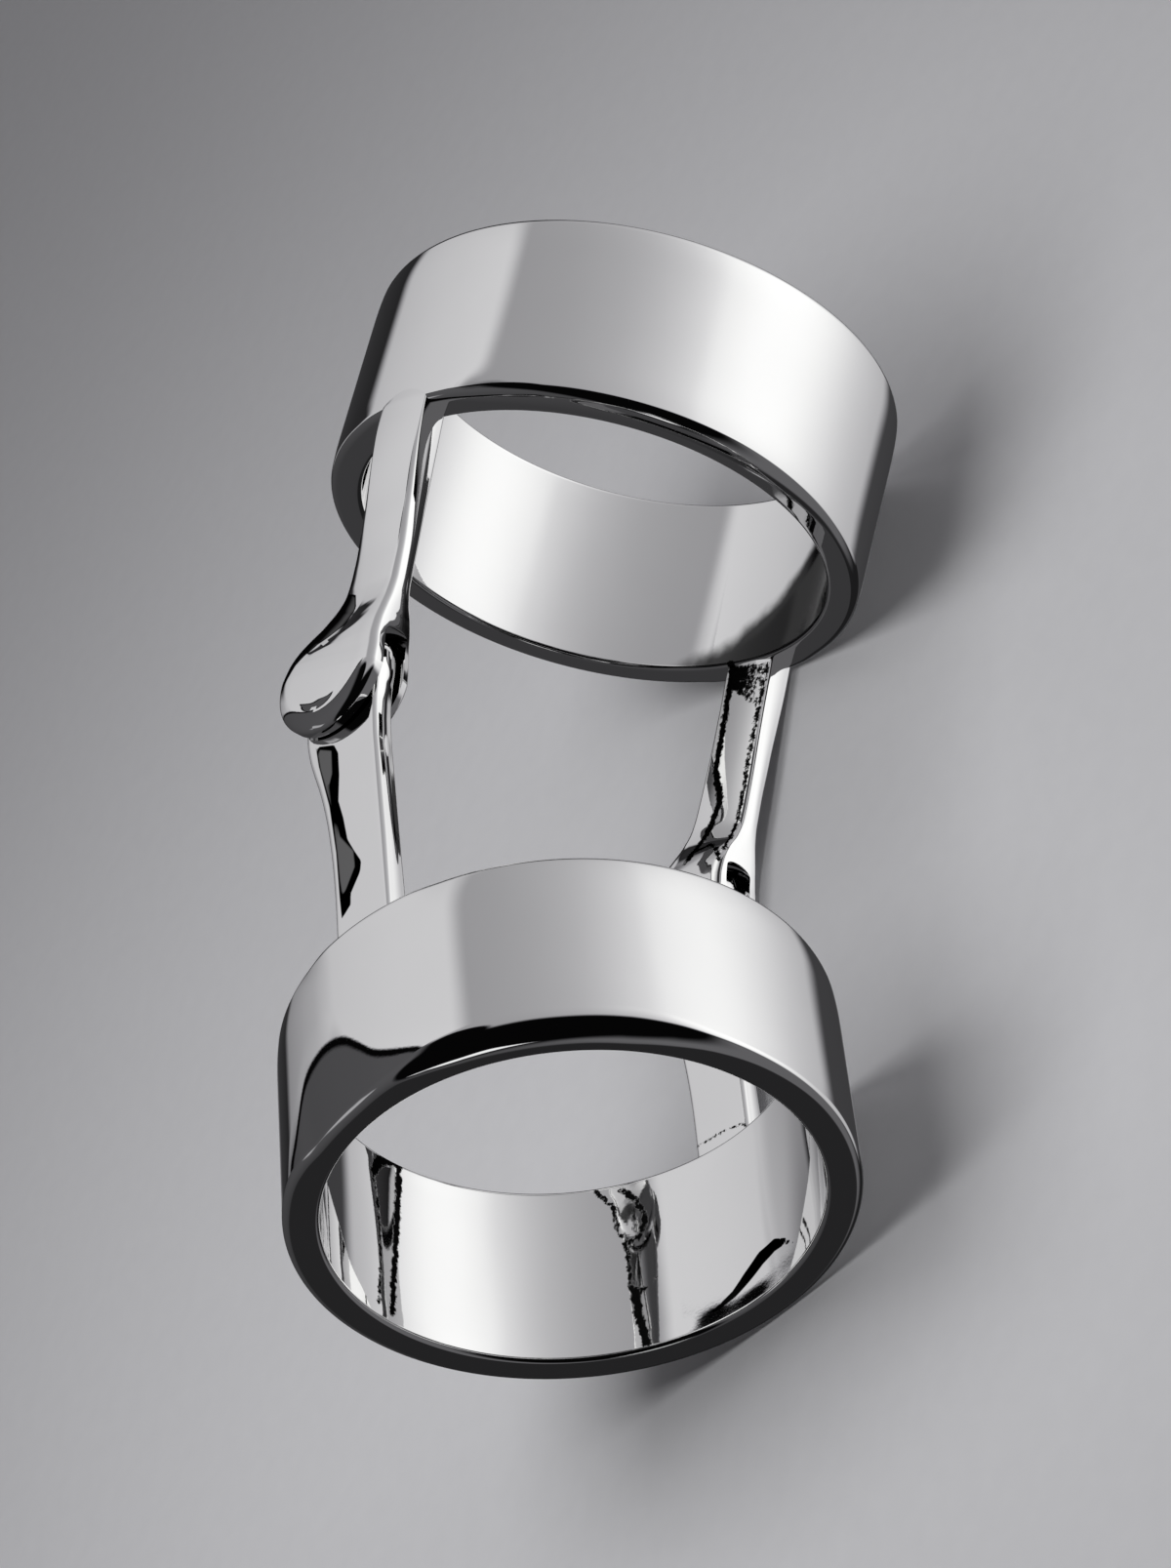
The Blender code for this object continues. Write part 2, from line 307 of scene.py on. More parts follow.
def band_section(outer, inner, width, corner, turn, wall_points):
    """The wall's section at each angle: outer wall, top rim, inner wall and bottom rim."""
    half = width / 2
    angle = np.degrees(turn) % 360.0
    deep = smooth_column(corner, angle, 1)
    tall = smooth_column(corner, angle, 2)
    zero = np.zeros_like(turn)
    edge = zero + OUTER_EDGE
    tight = zero + INNER_EDGE
    corners = [
        arc(outer - deep, -half + tall, deep, tall, -90.0, 0.0, OUTER_LOW_STEPS),
        arc(outer - edge, half - edge, edge, edge, 0.0, 90.0, OUTER_HIGH_STEPS),
        arc(inner + tight, half - tight, tight, tight, 90.0, 180.0, INNER_STEPS),
        arc(inner + tight, -half + tight, tight, tight, 180.0, 270.0, INNER_STEPS),
    ]
    pieces = []
    for k, count in enumerate((wall_points, RIM_POINTS, INNER_POINTS, RIM_POINTS)):
        pieces += [corners[k], straight(corners[k][:, -1], corners[(k + 1) % 4][:, 0], count)]
    return np.concatenate(pieces, axis=1)


print("rows round a band:", BAND_STEPS)

# %% [markdown]
# ## What the buff does to a wall
#
# Two things bend a polished wall by a few hundredths of a millimetre. Near a rim the wheel wraps
# round the edge and the wall falls away: that is the crown. All over the wall the hand leaves
# slow waves. The crown is left out where an arm stands, because the wheel can't reach there, and
# the waves fade out at the rims.

# %% Waves and crown
def hand_waves(turn, height, waves):
    """The buff's waves: a sum of slow sines round the band and along its width, in mm."""
    total = np.zeros(np.broadcast(turn, height).shape)
    for size, around, along, phase in waves:
        total += size * np.sin(around * turn + along * height + phase)
    return total


CROWN_REACH = 1.8
CROWN_FALL = 0.075
ARM_LEAVES = 11.0
ARM_GONE = 19.0
WAVES_START = 0.1
WAVES_FULL = 0.9
FALL_ABOVE_HOLE = 0.2
FALL_UNDER_SKIN = 0.3


def crown(distance):
    """How far a wall falls in beside a rim: the cube of the share of the reach."""
    return CROWN_FALL * np.clip(1.0 - distance / CROWN_REACH, 0.0, 1.0) ** 3


def beside_arms(turn):
    """0 where an arm stands on the rim, right and left, and 1 well away from both."""
    off = np.degrees(np.abs((turn + np.pi / 2) % np.pi - np.pi / 2))
    return soft_step(off, ARM_LEAVES, ARM_GONE)


def band_points(outer, inner, width, centre, waves, corner, fall, wall_points):
    """A section turned about the finger. The buff's waves go onto its whole wall, and the fall is
    taken from the outer wall alone."""
    turn = np.linspace(0.0, 2.0 * np.pi, BAND_STEPS, endpoint=False)[:, None]
    section = band_section(outer, inner, width, corner, turn, wall_points)
    radius, height = section[..., 0], section[..., 1]
    is_outer = soft_step(radius, inner + FALL_ABOVE_HOLE, outer - FALL_UNDER_SKIN)
    off_rims = soft_step(width / 2 - np.abs(height), WAVES_START, WAVES_FULL)
    radius = radius + off_rims * hand_waves(turn, height, waves)
    radius = radius - fall(turn, height) * is_outer
    return np.stack([
        centre[0] + radius * np.cos(turn),
        centre[1] + radius * np.sin(turn),
        np.broadcast_to(centre[2] + height, radius.shape),
    ], -1)


LOWER_WAVES = [
    # size, around, along, phase
    (0.0040, 5.0, 0.35, 0.4),
    (0.0022, 11.0, -0.55, 2.1),
    (0.0012, 19.0, 0.80, 4.0),
    (0.0010, 27.0, 0.20, 1.3),
]
UPPER_WAVES = [
    # size, around, along, phase
    (0.0036, 5.0, -0.30, 1.9),
    (0.0020, 9.0, 0.45, 0.2),
    (0.0012, 17.0, -0.70, 3.1),
    (0.0008, 29.0, 0.30, 5.0),
]


print("crown: %.3f mm over %.1f mm" % (CROWN_FALL, CROWN_REACH))

# %% [markdown]
# ## The worn edge
#
# The lower band's edge is worn in front on the left. Below a humped line the wall falls away
# towards the rim as one nearly flat facet, and the line itself is a soft bend. In a mirror this
# tiny slope is plain to see, because it doubles the angle of everything that is reflected.

# %% The worn facet, and how far each wall falls in
LIP_SLOPE = math.tan(math.radians(4.8))
LIP_BEND = 2.0
LIP_REACH = [
    # angle round the finger, height of the line above the rim
    (140.0, 0.60),
    (148.0, 1.30),
    (152.0, 2.20),
    (154.0, 2.75),
    (156.0, 3.50),
    (158.0, 4.25),
    (160.0, 4.70),
    (163.0, 4.95),
    (167.0, 5.05),
    (170.0, 4.95),
    (174.0, 4.55),
    (178.0, 3.75),
    (182.0, 2.85),
    (186.0, 2.35),
    (190.0, 2.00),
    (195.0, 1.60),
    (202.0, 1.10),
    (215.0, 0.60),
]
LIP_STARTS = (143.0, 151.0)
LIP_STOPS = (198.0, 214.0)


def lower_fall(turn, height):
    """The worn facet below its line, and the crown beside the rim that carries the arms."""
    angle = np.degrees(turn) % 360.0
    below = np.clip(smooth_column(LIP_REACH, angle, 1) - (height + LOWER_WIDTH / 2), 0.0, None)
    facet = np.where(below < LIP_BEND, below * below / (2.0 * LIP_BEND), below - LIP_BEND / 2.0)
    here = soft_step(angle, *LIP_STARTS) * (1.0 - soft_step(angle, *LIP_STOPS))
    return LIP_SLOPE * here * facet + beside_arms(turn) * crown(LOWER_WIDTH / 2 - height)


def upper_fall(turn, height):
    """The crown beside both rims, left out where the arms leave the lower one."""
    low = beside_arms(turn) * crown(height + UPPER_WIDTH / 2)
    return low + crown(UPPER_WIDTH / 2 - height)


print("worn facet: %.1f degrees" % math.degrees(math.atan(LIP_SLOPE)))

# %% Both bands
lower_ring = skin(
    "lower_band_wall",
    band_points(
        LOWER_OUTER_RADIUS, LOWER_INNER_RADIUS, LOWER_WIDTH, LOWER_CENTRE,
        LOWER_WAVES, LOWER_CORNER, lower_fall, LOWER_WALL_POINTS,
    ),
    bent=False,
    wrap_rows=True,
)
upper_ring = skin(
    "upper_band_wall",
    band_points(
        UPPER_OUTER_RADIUS, UPPER_INNER_RADIUS, UPPER_WIDTH, UPPER_CENTRE,
        UPPER_WAVES, UPPER_CORNER, upper_fall, UPPER_WALL_POINTS,
    ),
    bent=True,
    wrap_rows=True,
)
print("band faces:", len(lower_ring.data.polygons), len(upper_ring.data.polygons))

# %% [markdown]
# ## The arms
#
# Each arm is a flat strip whose width, thickness and softness of edge all change along it. A
# table gives its outline as seen from the side, another its inner and outer face, and a third
# how far each edge is rounded. On the forks the back edge has a wide bevel of its own. The upper
# arm leaves its band flush with the outer wall, so the eye sees one surface run down from the
# band into the arm. Its outer face therefore lies exactly on the wall's cylinder at the root and
# dips under it just past the rim's corner, where the two surfaces touch without a crease.

# %% A strip's front and back edge
def outline(table, heights, end_height, end_steps):
    """Front and back edge of a strip: the table's widths, then a half ellipse at its end.
    Returns (front y, back y, z) and the inward unit normals of both edges."""
    z_end, front_end, back_end = table[-1]
    away = 1.0 if z_end > table[0][0] else -1.0
    a = np.radians(np.linspace(0.0, 90.0, end_steps + 1)[1:])
    front = np.concatenate([smooth_column(table, heights, 1), front_end * np.cos(a)])
    back = np.concatenate([smooth_column(table, heights, 2), back_end * np.cos(a)])
    z = np.concatenate([heights, z_end + away * end_height * np.sin(a)])
    normals = []
    for edge, sign in ((front, 1.0), (back, -1.0)):
        dy = np.gradient(np.append(edge, -edge[-2]))[:-1]
        dz = np.gradient(np.append(z, z[-2]))[:-1]
        length = np.hypot(dy, dz)
        ny, nz = -dz / length, dy / length
        ny, nz = np.where(ny * sign < 0.0, (-ny, -nz), (ny, nz))
        ny[-1], nz[-1] = 0.0, -away
        normals.append((ny, nz))
    return front, back, z, normals


# %% The strip that every arm is made of
ARC_STEPS = 9
FACE_STEPS = 14
SIDE_STEPS = 4
BEVEL_POWER = 0.8
BEVEL_COLUMNS = 9


def strip_points(table, faces, edges, heights, end_height, end_steps, face_rise, swell):
    """A strip's surface. Round its section run the outer face, the back edge, the inner face
    and the front edge, each edge an elliptical quarter turn, a swelling side and a second turn.
    """
    front, back, z, normals = outline(table, heights, end_height, end_steps)
    outer = smooth_column(faces, z, 2)
    inner = smooth_column(faces, z, 1)
    inner_in = smooth_column(edges, z, 3)
    inner_deep = smooth_column(edges, z, 4)
    has_bevel = len(edges[0]) == BEVEL_COLUMNS
    a = np.radians(np.linspace(0.0, 90.0, ARC_STEPS + 1))[None, :]
    halves = []
    for edge, (ny, nz), drawn in ((front, normals[0], 5), (back, normals[1], 6)):
        drawn_in = smooth_column(edges, z, drawn)[:, None]
        bevelled = has_bevel and edge is back
        inset = smooth_column(edges, z, 7 if bevelled else 1)[:, None]
        depth = smooth_column(edges, z, 8 if bevelled else 2)[:, None]
        power = BEVEL_POWER if bevelled else 1.0
        out_inset = inset * (1.0 - np.sin(a))
        out_x = outer[:, None] - depth * (1.0 - np.cos(a)) ** power
        in_inset = drawn_in + inner_in[:, None] * (1.0 - np.sin(a[:, ::-1]))
        in_x = inner[:, None] + inner_deep[:, None] * (1.0 - np.cos(a[:, ::-1]))
        t = (np.arange(1, SIDE_STEPS + 1) / (SIDE_STEPS + 1))[None, :]
        side_x = out_x[:, -1:] + (in_x[:, :1] - out_x[:, -1:]) * t
        side_inset = out_inset[:, -1:] + (in_inset[:, :1] - out_inset[:, -1:]) * t
        side_inset = side_inset - swell * 4.0 * t * (1.0 - t)
        x = np.concatenate([out_x, side_x, in_x], 1)
        inset = np.concatenate([out_inset, side_inset, in_inset], 1)
        y = edge[:, None] + ny[:, None] * inset
        zz = z[:, None] + nz[:, None] * inset
        halves.append(np.stack([x, y, zz], -1))
    front_half, back_half = halves
    w = (np.arange(1, FACE_STEPS + 1) / (FACE_STEPS + 1))[None, :, None]
    rise = face_rise * 4.0 * w[..., 0] * (1.0 - w[..., 0])
    outer_face = back_half[:, :1] + (front_half[:, :1] - back_half[:, :1]) * w
    width = np.abs(front_half[:, 0, 1] - back_half[:, 0, 1])[:, None] / 2.0
    rise = rise * np.clip(width, 0.0, 1.0)
    outer_face[..., 0] += rise
    inner_face = front_half[:, -1:] + (back_half[:, -1:] - front_half[:, -1:]) * w
    inner_face[..., 0] -= rise
    points = np.concatenate([front_half, inner_face, back_half[:, ::-1], outer_face], 1)
    return points, outer, inner


def along(stops):
    """Heights from stop to stop, each stretch with its own spacing."""
    pieces = []
    for (start, spacing), (stop, _) in zip(stops[:-1], stops[1:]):
        count = max(1, int(round(abs(stop - start) / spacing)))
        pieces.append(np.linspace(start, stop, count, endpoint=False))
    return np.concatenate(pieces + [[stops[-1][0]]])


def other_side(points):
    """The same strip on the other side of the finger."""
    return points * np.array([-1.0, 1.0, 1.0])


ROUND_STRIP = 2 * (2 * (ARC_STEPS + 1) + SIDE_STEPS + FACE_STEPS)
print("points round a strip:", ROUND_STRIP)


# %% [markdown]
# ## The forks of the upper band
#
# Below the waist the arm swells into the hinge: an outer ear like a smooth pebble, and a
# smaller inner one. A slot parts them, open in front, behind and below. Its roof follows the
# tongue's round end, and it arches a little from ear to ear. The strip is made in one, and the
# slot is then cut from it.

# %% The tables of the upper arms
FORK_OUTLINE = [
    # z, front, back
    (13.00, -0.88, 1.60),
    (11.80, -0.96, 1.63),
    (10.00, -1.14, 1.50),
    (8.00, -1.36, 1.37),
    (6.00, -1.60, 1.28),
    (4.60, -1.75, 1.30),
    (3.60, -1.85, 1.42),
    (2.90, -1.92, 1.64),
    (2.30, -1.98, 1.90),
    (1.70, -2.05, 2.24),
    (1.10, -2.16, 2.56),
    (0.40, -2.36, 2.78),
    (-0.25, -2.50, 2.85),
]
FORK_FACES = [
    # z, inner, outer
    (13.00, 9.90, 11.00),
    (11.80, 9.86, 11.00),
    (9.00, 9.78, 10.90),
    (7.00, 9.74, 10.80),
    (5.00, 9.70, 10.70),
    (3.90, 9.66, 10.70),
    (3.10, 9.50, 10.78),
    (2.40, 9.18, 10.94),
    (1.70, 8.98, 11.10),
    (0.80, 8.86, 11.22),
    (-0.50, 8.80, 11.27),
    (-2.97, 8.82, 11.24),
]
FORK_EDGES = [
    # z, outer inset, outer depth, inner inset, inner depth, front in, back in, back inset, depth
    (13.00, 0.04, 0.04, 0.10, 0.10, 0.00, 0.00, 0.04, 0.04),
    (11.80, 0.05, 0.05, 0.12, 0.12, 0.00, 0.00, 0.05, 0.05),
    (9.00, 0.22, 0.16, 0.20, 0.20, 0.00, 0.00, 0.24, 0.18),
    (6.60, 0.32, 0.24, 0.25, 0.25, 0.00, 0.00, 0.55, 0.30),
    (4.80, 0.40, 0.28, 0.28, 0.25, 0.02, 0.06, 1.15, 0.44),
    (3.30, 0.48, 0.31, 0.32, 0.24, 0.08, 0.20, 1.85, 0.56),
    (2.30, 0.68, 0.33, 0.42, 0.24, 0.18, 0.52, 1.90, 0.58),
    (1.30, 0.86, 0.37, 0.54, 0.25, 0.22, 0.66, 1.40, 0.52),
    (0.40, 0.95, 0.40, 0.60, 0.26, 0.24, 0.70, 1.08, 0.44),
    (-0.60, 0.95, 0.40, 0.60, 0.26, 0.23, 0.60, 0.95, 0.40),
    (-2.97, 0.95, 0.40, 0.60, 0.26, 0.20, 0.20, 0.95, 0.40),
]
UPPER_RIM_Z = UPPER_CENTRE[2] - UPPER_WIDTH / 2
UPPER_HEIGHTS = along([(13.0, 0.10), (11.0, 0.16), (5.0, 0.08), (3.0, 0.05), (-0.25, 0.05)])
print("rows along an upper arm:", len(UPPER_HEIGHTS))

# %% The slot between the ears
SLOT_INNER = 9.30
SLOT_OUTER = 10.55
SLOT_ROOF_RADIUS = 3.60
SLOT_ROOF_CENTRE_Z = -1.27
SLOT_ARCH = 0.24
SLOT_ARCH_STEPS = 13
SLOT_SIDES = 160


def slot_cutter(side):
    """A disc across the gap between the ears. Its rim is half an ellipse, so the roof arches."""
    a = np.linspace(0.0, 2.0 * np.pi, SLOT_SIDES, endpoint=False)[None, :]
    b = np.radians(np.linspace(-90.0, 90.0, SLOT_ARCH_STEPS))[:, None]
    middle, half = (SLOT_INNER + SLOT_OUTER) / 2, (SLOT_OUTER - SLOT_INNER) / 2
    radius = SLOT_ROOF_RADIUS - SLOT_ARCH * (1.0 - np.cos(b))
    x = (middle + half * np.sin(b)) * side
    y = radius * np.cos(a)
    z = SLOT_ROOF_CENTRE_Z + radius * np.sin(a)
    points = np.stack(np.broadcast_arrays(x, y, z), -1)
    disc = skin("slot", points, bent=True, wrap_rows=False)
    work = bmesh.new()
    work.from_mesh(disc.data)
    bmesh.ops.holes_fill(work, edges=work.edges)
    bmesh.ops.recalc_face_normals(work, faces=work.faces)
    work.to_mesh(disc.data)
    work.free()
    return disc


print("slot: %.2f mm between the ears" % (SLOT_OUTER - SLOT_INNER))

# %% The upper arms with their ears
EAR_END = 2.72
EAR_STEPS = 40
EAR_RISE = 0.05
EAR_SWELL = 0.04
FLUSH_FROM = 7.4
FLUSH_TO = 11.3
DIP_SLOPE = 0.10


def lay_on_wall(points, outer, inner):
    """Draws the root's outer face onto the band's cylinder, and under it above the corner."""
    x, y, z = points[..., 0], points[..., 1], points[..., 2]
    share = np.clip((x - inner[:, None]) / (outer - inner)[:, None], 0.0, 1.0)
    wall = np.sqrt(UPPER_OUTER_RADIUS**2 - (y - UPPER_CENTRE[1]) ** 2)
    near = soft_step(z, FLUSH_FROM, FLUSH_TO)
    under = np.clip(z - (UPPER_RIM_Z + OUTER_EDGE), 0.0, None) * DIP_SLOPE
    lifted = x + share * (near * (wall - outer[:, None]) - under)
    return np.stack([lifted, y, z], -1)


def fork(name, side):
    """An upper arm: the strip, laid on the wall at its root, with the slot cut out of it."""
    points, outer, inner = strip_points(
        FORK_OUTLINE, FORK_FACES, FORK_EDGES, UPPER_HEIGHTS,
        EAR_END, EAR_STEPS, EAR_RISE, EAR_SWELL,
    )
    points = lay_on_wall(points, outer, inner)
    if side < 0.0:
        points = other_side(points)
    item = skin(name, points, bent=True, wrap_rows=False)
    cutter = slot_cutter(side)
    cut = item.modifiers.new("slot", "BOOLEAN")
    cut.operation = "DIFFERENCE"
    cut.solver = "EXACT"
    cut.object = cutter
    applied(item)
    bpy.data.objects.remove(cutter, do_unlink=True)
    return item


forks = [fork("right_fork", 1.0), fork("left_fork", -1.0)]
print("fork faces:", [len(item.data.polygons) for item in forks])

# %% [markdown]
# ## The arms of the lower band
#
# The lower arms are plainer: flat strips that stand on the band's top rim and widen into the
# round tongues that turn in the forks. Their outer face lies a little inside the wall, which
# leaves the thin crease that the real ring shows along the rim. The ears hide where the hinge
# pin goes through, so the tongue is left without its bore.

# %% The lower arms with their tongues
TONGUE_OUTLINE = [
    # z, front, back
    (-13.80, -1.60, 1.02),
    (-12.65, -1.63, 1.07),
    (-11.40, -1.62, 1.08),
    (-9.40, -1.60, 1.14),
    (-7.40, -1.56, 1.28),
    (-6.30, -1.54, 1.42),
    (-5.20, -1.52, 1.62),
    (-4.20, -1.50, 1.86),
    (-3.30, -1.52, 2.05),
    (-2.40, -1.58, 2.14),
    (-1.50, -1.72, 2.12),
    (-0.70, -1.90, 2.07),
    (0.00, -1.97, 2.05),
]
TONGUE_FACES = [
    # z, inner, outer
    (-13.80, 9.36, 10.38),
    (-12.65, 9.36, 10.40),
    (-9.00, 9.42, 10.42),
    (-5.00, 9.44, 10.44),
    (2.05, 9.45, 10.44),
]
TONGUE_EDGES = [
    # z, outer inset, outer depth, inner inset, inner depth, front in, back in
    (-13.80, 0.20, 0.16, 0.22, 0.20, 0.00, 0.00),
    (-9.00, 0.32, 0.22, 0.24, 0.22, 0.00, 0.00),
    (2.05, 0.30, 0.22, 0.22, 0.20, 0.00, 0.00),
]
TONGUE_END = 2.05
TONGUE_STEPS = 28
TONGUE_RISE = 0.02
TONGUE_SWELL = 0.05
LOWER_HEIGHTS = along([(-13.8, 0.10), (-11.5, 0.16), (-5.0, 0.10), (0.0, 0.10)])


def tongue(name, side):
    """A lower arm: the strip alone, with its round tip as the tongue."""
    points, _, _ = strip_points(
        TONGUE_OUTLINE, TONGUE_FACES, TONGUE_EDGES, LOWER_HEIGHTS,
        TONGUE_END, TONGUE_STEPS, TONGUE_RISE, TONGUE_SWELL,
    )
    if side < 0.0:
        points = other_side(points)
    return skin(name, points, bent=False, wrap_rows=False)


tongues = [tongue("right_tongue", 1.0), tongue("left_tongue", -1.0)]
print("tongue faces:", [len(item.data.polygons) for item in tongues])

# %% [markdown]
# ## Where the silver is dark
#
# Polish never reaches everything. A patch of old fire stain shows on the outer face of the left
# tongue, black along its edge and grey in the middle. Ragged soot from soldering has stayed in the
# corners of the right arm and along its root.
#
# The other dark marks are painted reflections: dark colour put on the metal where a mirror would
# show dark things that the simple room further down does not hold. They are the dark behind the
# left fork's waist, a few ragged black lines and a smooth streak inside the lower band, and a dark
# cloud that rises from the rim on the right inside the upper band. Each mark is drawn as a polygon
# or a line in the ring's own frame, and every vertex stores how far it lies inside, in
# millimetres. Between two vertices that distance changes evenly, so the edge of a mark can be
# much finer than the mesh.

# %% A stain and a painted reflection on the left side
FIRE_STAIN = [
    # y, z on the left tongue's outer face
    (1.62, -2.85), (0.60, -3.45), (0.40, -4.00), (0.40, -5.13), (0.51, -6.39), (0.31, -7.36),
    (0.16, -8.53), (-0.15, -9.30), (-0.46, -10.00), (-0.38, -10.48), (0.15, -11.21),
    (0.18, -11.71), (0.72, -12.13), (0.78, -11.00), (0.84, -8.77), (1.06, -6.31), (1.50, -4.00),
]
STAIN_MIDDLES = [
    # y, z of the two grey middles of that stain
    [
        (1.50, -3.10), (0.78, -3.66), (0.80, -4.81), (0.98, -5.28), (0.90, -6.10), (0.88, -6.50),
        (1.02, -5.90), (1.38, -4.20),
    ],
    [
        (0.78, -7.05), (0.56, -8.16), (-0.06, -9.28), (-0.10, -10.05), (0.44, -10.88),
        (0.60, -10.95), (0.68, -10.20), (0.74, -8.80), (0.82, -7.60),
    ],
]
# The dark behind the left fork's waist is a painted reflection, black along its edge and grey in the middle.
PAINTED_WAIST_REFLECTION = [
    # y, z on the back of the left fork's waist
    (1.10, 6.40), (0.94, 5.61), (0.86, 4.05), (0.95, 3.62), (0.28, 3.40), (-0.16, 2.60),
    (0.05, 1.80), (1.16, 1.05), (1.95, 0.25), (2.48, -0.90), (3.30, -1.00), (3.30, 2.40),
    (2.20, 3.60), (1.90, 6.40),
]
WAIST_EDGE = 0.08
# The stain and the painted reflection at the waist show only on the outside of the arm, and
# the stain only above the rim that the arm stands on.
TONGUE_OUTSIDE = -10.05
TONGUE_FOOT = -12.6
WAIST_OUTSIDE = -9.6
print("corners of the fire stain and the waist:", len(FIRE_STAIN), len(PAINTED_WAIST_REFLECTION))

# %% Soot on the right arm and along its root
SOOT_PATCH = [
    # y, z on the right arm's inner face
    (1.32, 11.85), (-0.61, 11.60), (-0.95, 9.20), (-0.45, 9.60), (0.20, 10.10), (0.97, 10.60),
]
SOOT_LINES = [
    # half width, then y, z on the right arm's inner face
    (0.21, [
        (1.30, 11.85), (0.90, 9.17), (0.62, 6.58), (-0.16, 4.94), (0.02, 3.68), (0.30, 2.00),
    ]),
    (0.13, [
        (-0.80, 11.50), (-0.98, 9.20), (-1.14, 7.00), (-1.34, 5.20), (-1.45, 3.60), (-1.60, 2.20),
    ]),
    (0.12, [(0.32, 1.77), (0.16, 2.33), (-0.58, 2.66), (-1.27, 2.18), (-1.62, 1.60)]),
]
ROOT_LINE = [
    # y, z on the lower band's inner wall, under the right arm
    (1.05, -11.90), (0.40, -12.02), (-0.36, -12.00), (-1.30, -12.20), (-1.75, -12.65),
]
ROOT_HALF_WIDTH = 0.05
# The patch is only this deep, so noise breaks it into speckles, and more so towards the front.
SPECKLE = 0.06
SPECKLE_SLOPE = 0.10
ARM_INSIDE = (8.0, 10.25)
ROOT_INSIDE = (8.6, 9.7)
print("soot lines:", len(SOOT_LINES) + 1)

# %% Painted reflections inside the bands
# Painted reflections: dark colour where a mirror would show dark things, as ragged black lines and a streak on the
# lower band's inner wall and a dark cloud on the upper band's.
PAINTED_INSIDE_LINES = [
    # half width, then the angle round the finger and the height above the lower band's rim
    (0.17, [(85.0, 8.00), (86.0, 6.40), (87.0, 4.70), (88.5, 2.75), (90.0, 0.60)]),
    (0.09, [(94.5, 6.95), (93.0, 5.35), (93.0, 2.85), (94.5, 0.70)]),
    (0.24, [(84.5, 8.10), (92.0, 7.60), (94.0, 6.90)]),
    (0.11, [(33.5, 7.75), (30.0, 6.95), (29.5, 5.90), (27.5, 5.05), (27.5, 3.05), (26.8, 1.80)]),
    (0.14, [(27.5, 7.65), (24.0, 7.00), (22.0, 5.95), (24.5, 5.15), (28.0, 5.00)]),
    (0.10, [(27.5, 2.95), (24.5, 2.80), (21.0, 3.10)]),
    (0.20, [(26.5, 2.80), (26.5, 1.65), (25.0, 0.30)]),
]
# A streak of dark colour on the lower band's inner wall: a painted reflection.
PAINTED_INSIDE_STREAK = [
    # angle round the finger, height above the rim, half width
    (-22.0, 1.00, 0.02),
    (-17.5, 1.56, 0.17),
    (-13.5, 1.80, 0.30),
    (-8.5, 1.72, 0.35),
    (-3.5, 1.34, 0.30),
    (1.0, 0.96, 0.20),
    (6.5, 0.70, 0.12),
    (13.0, 0.52, 0.03),
]
# The dark cloud inside the upper band is a painted reflection.
PAINTED_REFLECTION_CLOUD_HEIGHTS = [
    # angle round the finger, how high it reaches above the upper band's lower rim, inside
    (-70.0, 1.00),
    (-45.0, 3.40),
    (-30.0, 4.80),
    (-20.0, 5.50),
    (-15.0, 4.75),
    (-10.0, 3.80),
    (-5.0, 3.00),
    (0.0, 2.35),
    (10.0, 1.25),
    (20.0, 0.50),
    (32.0, -0.60),
]
WALL_DEPTH = 0.06
print("lines inside the lower band:", len(PAINTED_INSIDE_LINES))

# %% Distances to polygons, lines and streaks
ABSENT = -1.0


def to_line(y, z, corners, closed):
    """The distance from many points to a chain of straight pieces, and whether each is inside."""
    corners = np.asarray(corners, float)
    ends = np.roll(corners, -1, axis=0) if closed else corners[1:]
    starts = corners if closed else corners[:-1]
    nearest = np.full(y.shape, np.inf)
    inside = np.zeros(y.shape, bool)
    for (ya, za), (yb, zb) in zip(starts, ends):
        dy, dz = yb - ya, zb - za
        t = np.clip(((y - ya) * dy + (z - za) * dz) / (dy * dy + dz * dz), 0.0, 1.0)
        nearest = np.minimum(nearest, np.hypot(y - ya - t * dy, z - za - t * dz))
        crosses = (za > z) != (zb > z)
        inside ^= crosses & (y < ya + (z - za) * dy / (dz if dz else 1.0))
    return nearest, inside


def inside_of(y, z, corners):
    """How far points lie inside a polygon, negative outside."""
    distance, inside = to_line(y, z, corners, closed=True)
    return np.where(inside, distance, -distance)


def near_line(y, z, corners, half_width):
    """How far points lie inside a line of that half width, negative outside."""
    distance, _ = to_line(y, z, corners, closed=False)
    return half_width - distance


def tapered(turn, height, start, end):
    """How deep points lie in one stretch of a streak whose half width changes along it."""
    scale = np.radians(1.0) * LOWER_INNER_RADIUS
    along, up = (end[0] - start[0]) * scale, end[1] - start[1]
    across, rise = (turn - start[0]) * scale, height - start[1]
    t = np.clip((across * along + rise * up) / (along * along + up * up), 0.0, 1.0)
    width = start[2] + (end[2] - start[2]) * t
    return width - np.hypot(across - t * along, rise - t * up)


def on_inner_wall(x, y, z, centre, width, inner):
    """Each point's angle round the finger, its height above the lower rim, and whether it lies
    on the inner wall."""
    angle = np.degrees(np.arctan2(y - centre[1], x))
    above = z - (centre[2] - width / 2)
    return angle, above, np.hypot(x, y - centre[1]) < inner + WALL_DEPTH


corners = [(0.0, 0.0), (1.0, 0.0), (1.0, 1.0), (0.0, 1.0)]
middle = inside_of(np.array([0.5]), np.array([0.5]), corners)
print("the middle of a square of 1 mm lies %.2f mm inside it" % middle[0])

# %% Storing the marks on a piece
def ring_frame(piece, bent):
    """A piece's vertices in the ring's own frame, in millimetres."""
    flat = np.empty(len(piece.data.vertices) * 3)
    piece.data.vertices.foreach_get("co", flat)
    points = (flat.reshape(-1, 3) - HINGE_AT) / MM @ RING_TO_ROW
    return points @ BENT if bent else points


